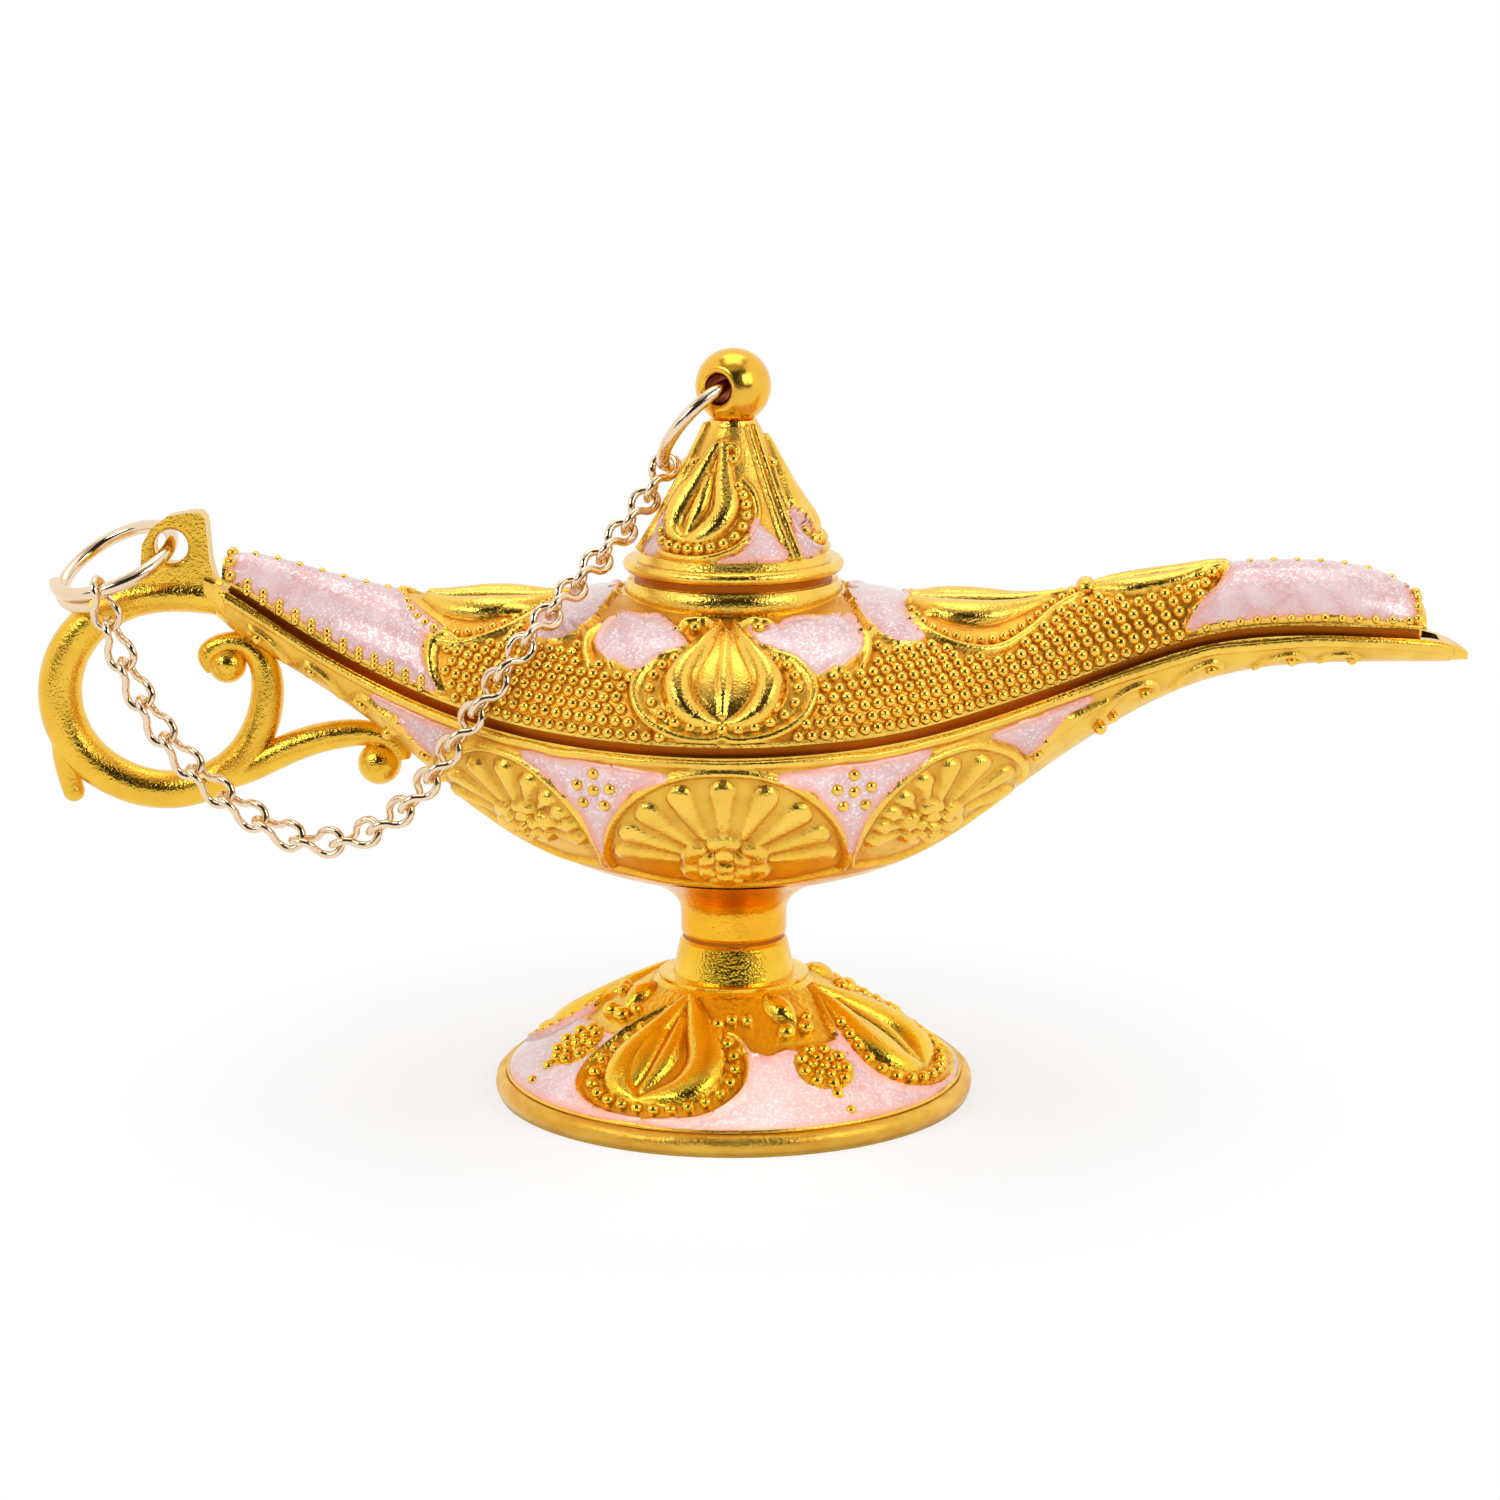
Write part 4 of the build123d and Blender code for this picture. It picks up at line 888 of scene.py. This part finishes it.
STEM = [(11.9, 6.6, 0.34, 0.5), (12.3, 8.2, 0.42, 0.62), (12.2, 10.2, 0.42, 0.62), (11.2, 12.2, 0.36, 0.55)]
HOOK = [(12.4, 9.6, 0.32, 0.5), (12.9, 11.4, 0.4, 0.6), (14.0, 12.0, 0.4, 0.6), (14.6, 11.2, 0.36, 0.55),
        (14.1, 10.6, 0.3, 0.5)]
PANEL_CURLS = [
    [(-25.7, 0.9, 0.4, 0.5), (-26.6, 2.6, 0.5, 0.65), (-26.6, 4.8, 0.55, 0.7), (-25.4, 6.2, 0.5, 0.65),
     (-24.0, 5.6, 0.42, 0.6), (-24.4, 4.5, 0.34, 0.5)],
    [(41.4, 2.6, 0.4, 0.5), (43.6, 4.0, 0.5, 0.7), (44.4, 5.8, 0.5, 0.7), (43.4, 6.6, 0.45, 0.65),
     (42.4, 5.9, 0.4, 0.55)],
]
SEAM = [(x, 0.14, 0.2, 0.22) for x in np.linspace(-46, 62, 50)]
for shape in [STEM, mirrored(STEM), HOOK, mirrored(HOOK), SEAM] + PANEL_CURLS:
    on_shell(shape)
# Painted shade: the bare gold ground of the shell's middle, among the granules, is darkened.
bare = (relief < 0.1) & ~shell_field["wet"] & (shell_u > -26.0) & (shell_u < 44.5)
shell_painted_shade = np.where(bare, 0.4, 0.0)
relief += SKIN_LIFT
shell_sink = np.zeros(relief.shape)
shell_sink[:, :1] = RIM_SINK
shell_sink[:2] = END_SINK
shell_sink[-2:] = END_SINK
shell_sink[parted(shell), -2:] = END_SINK
dress_both("shell_relief", shell, shell_u, shell_v, shell_field, shell_sink, "lamp", shell_painted_shade)

# Granules, bead borders and pegs of the shell, each a small round grain soldered or cast on.
keep_off = [*CELLS, bud_shape,
            closed(over_ridge([p[:2] for p in RIGHT_BUD]) + [(32.0, 12.0), (24, 18), (15.5, 24)]),
            closed(over_ridge([p[:2] for p in LEFT_BUD]) + [(-15.0, 24.0), (-24, 18), (-31.0, 14)]),
            closed([(32.2, 9.8), (33.0, 7.8), (36.0, 6.2), (40.0, 6.0), (44.2, 6.8), (45.0, 9.5)])]
GRAIN_PITCH = 1.2
GRAIN_ROW = 1.04
GRAIN_GAP = 0.62
STEM_GAP = 0.7
COLLAR_R = 10.9
rim_y = shell_grid[:, 0, 1]
grains = []
row = 0
level = 0.62
while level < 15.0:
    x = -25.2 + (GRAIN_PITCH / 2 if row % 2 else 0.0)
    while x < 44.0:
        if level < ridge_over(x, 0.6):
            grains.append((x, level))
        slope = (np.interp(x + 0.6, shell_x, rim_y) - np.interp(x - 0.6, shell_x, rim_y)) / GRAIN_PITCH
        x += GRAIN_PITCH / math.sqrt(1 + slope ** 2)
    row += 1
    level += GRAIN_ROW
grains = np.array(grains)
grain_u, grain_v = grains.T
free = np.ones(len(grains), bool)
for outline in keep_off:
    free &= ~within(grain_u, grain_v, outline) & (gap_to(grain_u, grain_v, outline)[0] > GRAIN_GAP)
STEM_LINE = [(12.2, 7.0), (12.3, 10.2), (11.2, 12.2)]
for shape in (STEM_LINE, mirrored(STEM_LINE)):
    line = bent_line(shape)
    free &= np.hypot(grain_u[:, None] - line[:, 0], grain_v[:, None] - line[:, 1]).min(1) > STEM_GAP
on_shoulder = on_columns(shell, grain_u, grain_v)
free &= np.hypot(on_shoulder[:, 0], on_shoulder[:, 1]) > COLLAR_R
free &= (np.abs(grain_u) > 12.4) | (grain_v < 8.2)
shell_spots = [(x, y, 0.55 + 0.04 * min(max((x - 8.0) / 14.0, 0.0), 1.0), 0.14) for x, y in grains[free]]
MID_BEADS = [(-4.3, 8.2), (-5.7, 7.0), (-6.4, 5.0), (-5.9, 3.1), (-4.0, 1.95), (-1.4, 1.5), (0.0, 1.5)]
half = bead_points(MID_BEADS, 1.32)
shell_spots += [(x, y, 0.54, 0.24) for x, y in half] + [(-x, y, 0.54, 0.24) for x, y in half[:-1]]
for bud in (RIGHT_BUD, LEFT_BUD):
    inset = [(p[0], max(p[1] - 1.15, 0.2)) for p in bud]
    shell_spots += [(x, ridge_over(x, b), 0.42, 0.25) for x, b in bead_points(inset, 1.12)]
shell_spots += [(side * 2.75, 12.45, 0.62, 0.35) for side in (-1, 1)]
shell_spots += [(31.9, ridge_over(31.9, 0.6), 0.95, 0.35), (43.0, 5.6, 0.6, 0.4), (-24.6, 5.1, 0.55, 0.4)]
shell_spots += [(x, 0.62, 0.42, 0.28) for x in np.arange(42.4, 60.6, 1.5)]
for run in (np.arange(46.5, 60.0, 2.1), np.arange(-43.5, -31.0, 2.0)):
    shell_spots += [(x, ridge_over(x, 0.1), 0.42, 0.15) for x in run]
shell_spots += [(61.2, y, 0.5, 0.3) for y in (0.8, 1.9, 3.0, 4.1)]
shell_spots += [(-45.5, y, 0.55, 0.3) for y in (0.8, 2.0, 3.2)]
for x in np.arange(-43.9, -27.0, 1.5):
    shell_spots += [(x, y, size, 0.3) for y, size in ((0.35, 0.42), (0.75, 0.43), (1.15, 0.42))]
set_beads("shell_beads", both_bead_spots(shell, shell_spots), "lamp")

# GROOVE: the narrow channel between bowl and shell, darkened to deep amber with painted shade.
# A thin liner carries the painted shade along the channel, and a short tube carries it in the joint at the
# neck.
amber_shade, nodes, links = blank_material("amber_painted_shade")
out = shader(nodes, "OutputMaterial")
shade_film = shader(nodes, "BsdfPrincipled", {"Base Color": (0.44, 0.11, 0.003, 1.0), "Metallic": 0.9,
                                        "Roughness": 0.36})
join(links, (shade_film, "BSDF", out, "Surface"))
shell_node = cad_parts["top_shell"]
bowl_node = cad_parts["lower_body"]


def first_hit(node, start, way):
    """The first place of a casting along a line, in millimetres."""
    hit, at = node.ray_cast(Vector(start) * MM, Vector(way))[:2]
    return np.array(at) / MM if hit else None


channel = []
for x in np.linspace(-45.6, 61.6, 300):
    z = float(np.interp(x, RIM_X, RIM_Z))
    edge = first_hit(bowl_node, (x, -60.0, z - 0.5), (0, 1, 0))
    wall = first_hit(shell_node, (x, -60.0, z + 0.35), (0, 1, 0))
    if edge is None or wall is None:
        continue
    top = first_hit(bowl_node, (x, edge[1] + 0.45, z + 0.6), (0, 0, -1))
    over = first_hit(shell_node, (x, wall[1] - 0.3, z + 0.3), (0, 0, 1))
    if top is None or over is None or wall[1] - edge[1] < 0.3:
        continue
    lip = min(edge[1] + 0.5, wall[1] - 0.2)
    channel.append([(x, edge[1] + 0.16, top[2] + 0.02), (x, wall[1] - 0.03, top[2] + 0.02),
                    (x, wall[1] - 0.03, over[2] - 0.02), (x, lip, over[2] - 0.02)])
liner = new_sheet("groove_shade_liner", np.array(channel))[0]
liner.data.update()
if sum(p.normal[1] for p in liner.data.polygons) > 0:
    liner.data.flip_normals()
turn_back = liner.modifiers.new("back", "MIRROR")
turn_back.use_axis = (False, True, False)
turn_back.use_mirror_merge = False
bpy.ops.object.modifier_apply(modifier="back")
liner.data.materials.append(amber_shade)
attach(liner, "lamp")


def shade_tube(name, radius, depth, height, sides=128, turn=(0.0, 0.0, 0.0), inward=False):
    """A short open tube of painted shade on the lamp's axis, in millimetres; inward turns its faces in."""
    drop_selection()
    bpy.ops.mesh.primitive_cylinder_add(vertices=sides, radius=radius * MM, depth=depth * MM,
                                        end_fill_type="NOTHING", location=(0.0, 0.0, height * MM),
                                        rotation=turn)
    tube = bpy.context.object
    tube.name = name
    bpy.ops.object.transform_apply(location=True, rotation=True, scale=True)
    if inward:
        bpy.ops.object.mode_set(mode="EDIT")
        bpy.ops.mesh.select_all(action="SELECT")
        bpy.ops.mesh.flip_normals()
        bpy.ops.object.mode_set(mode="OBJECT")
    bpy.ops.object.shade_smooth()
    tube.data.materials.append(amber_shade)
    return tube


joint_shade = shade_tube("neck_joint_shade", 4.69, 0.42, 14.65)
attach(joint_shade, "lamp")

# LID: the pointed cover, cast hollow with a spigot that drops into the mouth. Three buds with bead
# borders stand round it, with paired ribs between them and pink enamel in the low corners.
clad("lid", cast_gold)
LID_SECTORS = 3
LID_FIRST = math.radians(43.0)
LID_SHIFT = math.radians(8.0)
lid_z = np.linspace(50.35, 62.1, 80)
lid_r = []
for z in lid_z:
    hit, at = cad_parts["lid"].ray_cast(Vector((0.0, -0.05, z * MM)), Vector((0.0, 1.0, 0.0)))[:2]
    lid_r.append(math.hypot(at[0], at[1]) / MM if hit else lid_r[-1])
lid_r = np.array(lid_r)
lid_run = np.concatenate([[0], np.cumsum(np.hypot(np.diff(lid_r), np.diff(lid_z)))])
lid_steps = 96
lid_turn = math.pi / LID_SECTORS * (-1 + 2 * np.arange(lid_steps) / lid_steps)
turn_grid, run_grid = np.meshgrid(lid_turn, lid_run, indexing="ij")
lid_u = turn_grid * lid_r
lid_v = run_grid.copy()
lid_field = new_field(lid_u.shape)
left_lid = closed([(-7.4, 0.3), (-4.0, 0.25), (-0.95, 0.3), (-0.95, 2.2), (-1.7, 3.4), (-2.6, 4.4),
                   (-3.5, 3.0), (-4.8, 1.4)])
right_lid = closed([(0.95, 0.3), (3.6, 0.3), (4.2, 1.2), (3.3, 2.6), (2.2, 4.2), (1.2, 5.0), (0.9, 2.4)])
for outline in (left_lid, right_lid):
    pour(lid_field, lid_u, lid_v, outline, 0.14)
relief = lid_field["relief"]
LID_RIB = [(0.48, 0.2, 0.36, 0.5), (0.42, 5.0, 0.34, 0.5), (0.38, 9.0, 0.32, 0.5), (0.33, 13.3, 0.28, 0.4)]
for rib in (LID_RIB, mirrored(LID_RIB)):
    chase(relief, lid_u, lid_v, rib)
LID_EDGE = [(-1.9, 9.8, 0.3, 0.35), (-2.9, 8.0, 0.34, 0.42), (-4.1, 5.4, 0.38, 0.5), (-4.9, 2.9, 0.4, 0.5),
            (-4.0, 1.0, 0.4, 0.5), (-1.5, 0.45, 0.4, 0.45), (1.6, 0.6, 0.4, 0.5), (4.1, 1.8, 0.4, 0.5),
            (5.1, 4.2, 0.4, 0.5), (4.3, 6.6, 0.38, 0.48), (2.9, 8.1, 0.36, 0.42)]
LID_LOBES = [
    [(0.6, 11.6, 0.45, 0.5), (1.3, 8.4, 0.85, 0.8), (2.1, 5.2, 1.25, 1.05), (1.0, 3.0, 1.15, 0.95),
     (-0.9, 2.1, 0.3, 0.4)],
    [(0.0, 11.4, 0.45, 0.5), (-1.3, 8.2, 0.9, 0.8), (-2.8, 5.2, 1.35, 1.05), (-2.7, 3.2, 1.1, 0.9),
     (-1.0, 2.1, 0.3, 0.4)],
    [(0.0, 8.4, 0.4, 0.5), (-0.3, 5.4, 0.75, 0.75), (-0.9, 2.8, 0.35, 0.4)],
]
LID_CURL = [(0.5, 11.3, 0.3, 0.5), (1.4, 11.4, 0.34, 0.55), (2.0, 10.7, 0.34, 0.55), (1.9, 9.9, 0.3, 0.5)]
LID_BEADS = [(2.7, 7.5), (3.7, 5.9), (4.1, 4.1), (3.3, 2.4), (1.3, 1.5), (-1.3, 1.35), (-3.4, 1.7),
             (-4.0, 2.6)]
for side in (-1, 1):
    bud_u = (turn_grid - side * math.pi / LID_SECTORS + LID_SHIFT) * lid_r
    for shape in [LID_EDGE, LID_CURL] + LID_LOBES:
        chase(relief, bud_u, lid_v, shape, 0.58)
LID_LIFT = 0.05
relief += LID_LIFT


def round_lid(grid):
    """One sector's grid all round the lid."""
    return around([grid] * LID_SECTORS)


sector_turns = 2 * math.pi * np.arange(LID_SECTORS) / LID_SECTORS
lid_reach = np.interp(lid_v, lid_run, lid_r)
lid_height = np.interp(lid_v, lid_run, lid_z)
lid_way = lid_u / np.maximum(lid_reach, 0.1) + LID_FIRST
lid_places = around([round_place(lid_reach, lid_way + turn, lid_height) for turn in sector_turns])
lid_sink = np.zeros(relief.shape)
lid_sink[:, :1] = EDGE_SINK
lid_sink[:, -2:] = EDGE_SINK
raise_skin("lid_relief", lid_places, each_layer(lid_field, round_lid), round_lid(lid_sink), "lid", 50.0,
           wrap=True)
lid_spots = [(*p, 0.54, 0.24) for p in bead_points(LID_BEADS, 1.04)]
lid_spots += [(1.75, 10.0, 0.52, 0.3), (-2.2, 9.4, 0.5, 0.2)]
placed = []
for u, v, size, over in lid_spots:
    low_r, r, high_r = np.interp((v - 0.3, v, v + 0.3), lid_run, lid_r)
    low_z, z, high_z = np.interp((v - 0.3, v, v + 0.3), lid_run, lid_z)
    tilt = math.atan2(low_r - high_r, high_z - low_z)
    for turn in sector_turns:
        way = u / r + LID_FIRST + math.pi / LID_SECTORS - LID_SHIFT + turn
        up = round_place(math.cos(tilt), way, math.sin(tilt))
        placed.append((round_place(r, way, z), up, size, over))
set_beads("lid_beads", placed, "lid")

# The seat under the lid's rim is dark with the same painted shade, a dark tube in the gap.
seat_shade = shade_tube("lid_seat_shade", 8.94, 0.74, 48.3)
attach(seat_shade, "lid")

# FINIAL: the drilled ball on the lid's point, polished bright. Its hole is dark with painted shade, on a tube
# whose faces look inward.
ball_gold = gilt("polished_gold", (0.92, 0.53, 0.06), (0.68, 0.27, 0.015), 0.12, 0.12)
clad("lid_finial", ball_gold)
HOLE_TURN = (math.radians(90.0), 0.0, math.radians(-29.0))
hole_shade = shade_tube("ball_hole_shade", 1.27, 5.0, 65.25, 48, HOLE_TURN, True)
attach(hole_shade, "lid")

# RINGS AND CHAIN: two jump rings of 1.2 mm wire and a curb chain of 0.7 mm wire, bent from drawn wire.
# All of them are pale rose gilt and bright.
pale_gold = gilt("pale_gold_wire", (0.88, 0.70, 0.49), (0.72, 0.47, 0.27), 0.07, 0.04)
for node in sorted(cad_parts):
    if node.startswith("chain_link") or node in ("lid_ring", "handle_ring"):
        clad(node, pale_gold)

# TABLE, LIGHT AND CAMERA: a white table under a wide soft light, with dark cards out of the camera's
# sight on its own side, which the gilt shows as brown shadows.
drop_selection()
bpy.ops.mesh.primitive_plane_add(size=6.0, location=(0.0, 0.0, -0.02 * MM))
table = bpy.context.object
table.name = "table"
paint, nodes, links = blank_material("white_table")
out = shader(nodes, "OutputMaterial")
matt = shader(nodes, "BsdfDiffuse", {"Color": (0.86, 0.86, 0.86, 1.0)})
plain = shader(nodes, "Emission", {"Color": (1.0, 1.0, 1.0, 1.0)})
place = shader(nodes, "TexCoord")
far = shader(nodes, "VectorMath", operation="LENGTH")
fade = shader(nodes, "MapRange", {"From Min": 0.018, "From Max": 0.062, "To Min": 0.65, "To Max": 1.0},
              interpolation_type="SMOOTHSTEP")
eye = shader(nodes, "LightPath")
shown = shader(nodes, "Math", operation="MULTIPLY")
either = shader(nodes, "Math", operation="MAXIMUM")
mix = shader(nodes, "MixShader")
join(links, (place, "Object", far, 0), (far, "Value", fade, "Value"), (fade, "Result", shown, 0),
     (eye, "Is Camera Ray", shown, 1), (shown, "Value", either, 0), (eye, "Is Glossy Ray", either, 1),
     (either, "Value", mix, "Fac"), (matt, "BSDF", mix, 1), (plain, "Emission", mix, 2),
     (mix, "Shader", out, "Surface"))
table.data.materials.append(paint)


def dark_card(name, corners, tone):
    """A card that only mirror images show."""
    mesh = bpy.data.meshes.new(name)
    mesh.from_pydata(corners, [], [tuple(range(len(corners)))])
    card = new_object(name, mesh)
    paint, nodes, links = blank_material(name + "_cloth")
    out = shader(nodes, "OutputMaterial")
    cloth = shader(nodes, "BsdfDiffuse", {"Color": (tone, tone * 0.9, tone * 0.82, 1.0)})
    join(links, (cloth, "BSDF", out, "Surface"))
    mesh.materials.append(paint)
    card.visible_camera = False
    card.visible_shadow = False
    card.visible_diffuse = False


CARD_COUNT = 8
CARD_FIRST = -60
CARD_TURN = 15
CARD_R = 0.75
CARD_FOOT = 0.05
CARD_TOP = 1.15
for k in range(CARD_COUNT):
    ends = [math.radians(CARD_FIRST + CARD_TURN * at) for at in (k + 1, k)]
    wall = [(CARD_R * math.sin(a), -CARD_R * math.cos(a), CARD_FOOT) for a in ends]
    dark_card("front_card_%d" % (k + 1), wall + [(x, y, CARD_TOP) for x, y, z in reversed(wall)], 0.035)
dark_card("ceiling_card", [(-0.6, -0.6, 1.1), (-0.6, 0.3, 1.1), (0.6, 0.3, 1.1), (0.6, -0.6, 1.1)], 0.75)

world = bpy.data.worlds.new("studio")
bpy.context.scene.world = world
world.use_nodes = True
nodes = world.node_tree.nodes
links = world.node_tree.links
nodes.clear()
out = shader(nodes, "OutputWorld")
sky = shader(nodes, "Background", {"Color": (1.0, 1.0, 1.0, 1.0)})
path = shader(nodes, "LightPath")
seen = shader(nodes, "Math", operation="MAXIMUM")
mirror = shader(nodes, "Math", operation="MAXIMUM")
strength = shader(nodes, "MapRange", {"To Min": 0.55, "To Max": 1.0})
join(links, (sky, "Background", out, "Surface"), (path, "Is Camera Ray", seen, 0),
     (path, "Is Transmission Ray", seen, 1), (seen, "Value", mirror, 0), (path, "Is Glossy Ray", mirror, 1),
     (mirror, "Value", strength, "Value"), (strength, "Result", sky, "Strength"))

SOFTBOXES = (
    ("left_softbox", (-0.44, -0.44, 0.42), 0.3, 1.15, 180, 0.035),
    ("right_softbox", (0.48, -0.4, 0.36), 0.3, 1.05, 180, 0.035),
    ("top_softbox", (0.0, 0.1, 0.8), 0.5, 1.3, 180, 0.035),
    ("low_fill", (0.05, -0.6, 0.12), 0.4, 0.6, 180, 0.035),
    ("foot_fill", (0.0, -0.3, 0.2), 0.03, 0.003, 8, -0.006),
)
for name, where, size, power, spread, aim in SOFTBOXES:
    lamp = bpy.data.lights.new(name, "AREA")
    lamp.shape = "SQUARE"
    lamp.size = size
    lamp.energy = power
    lamp.spread = math.radians(spread)
    lamp_object = new_object(name, lamp)
    lamp_object.visible_glossy = not name.endswith("_fill")
    lamp_object.location = where
    lamp_object.rotation_euler = (Vector((0, 0, aim)) - Vector(where)).to_track_quat("-Z", "Y").to_euler()

camera_data = bpy.data.cameras.new("photo_camera")
camera_data.lens = 95.4
camera_data.sensor_width = 36.0
camera = new_object("photo_camera", camera_data)
camera_at = Vector((0.01698, -0.35446, 0.1086))
camera.location = camera_at
camera.rotation_euler = (Vector((0.0015, 0.0, 0.0319)) - camera_at).to_track_quat("-Z", "Y").to_euler()
camera_data.clip_start = 0.01
bpy.context.scene.camera = camera
bpy.context.scene.view_settings.view_transform = "Standard"
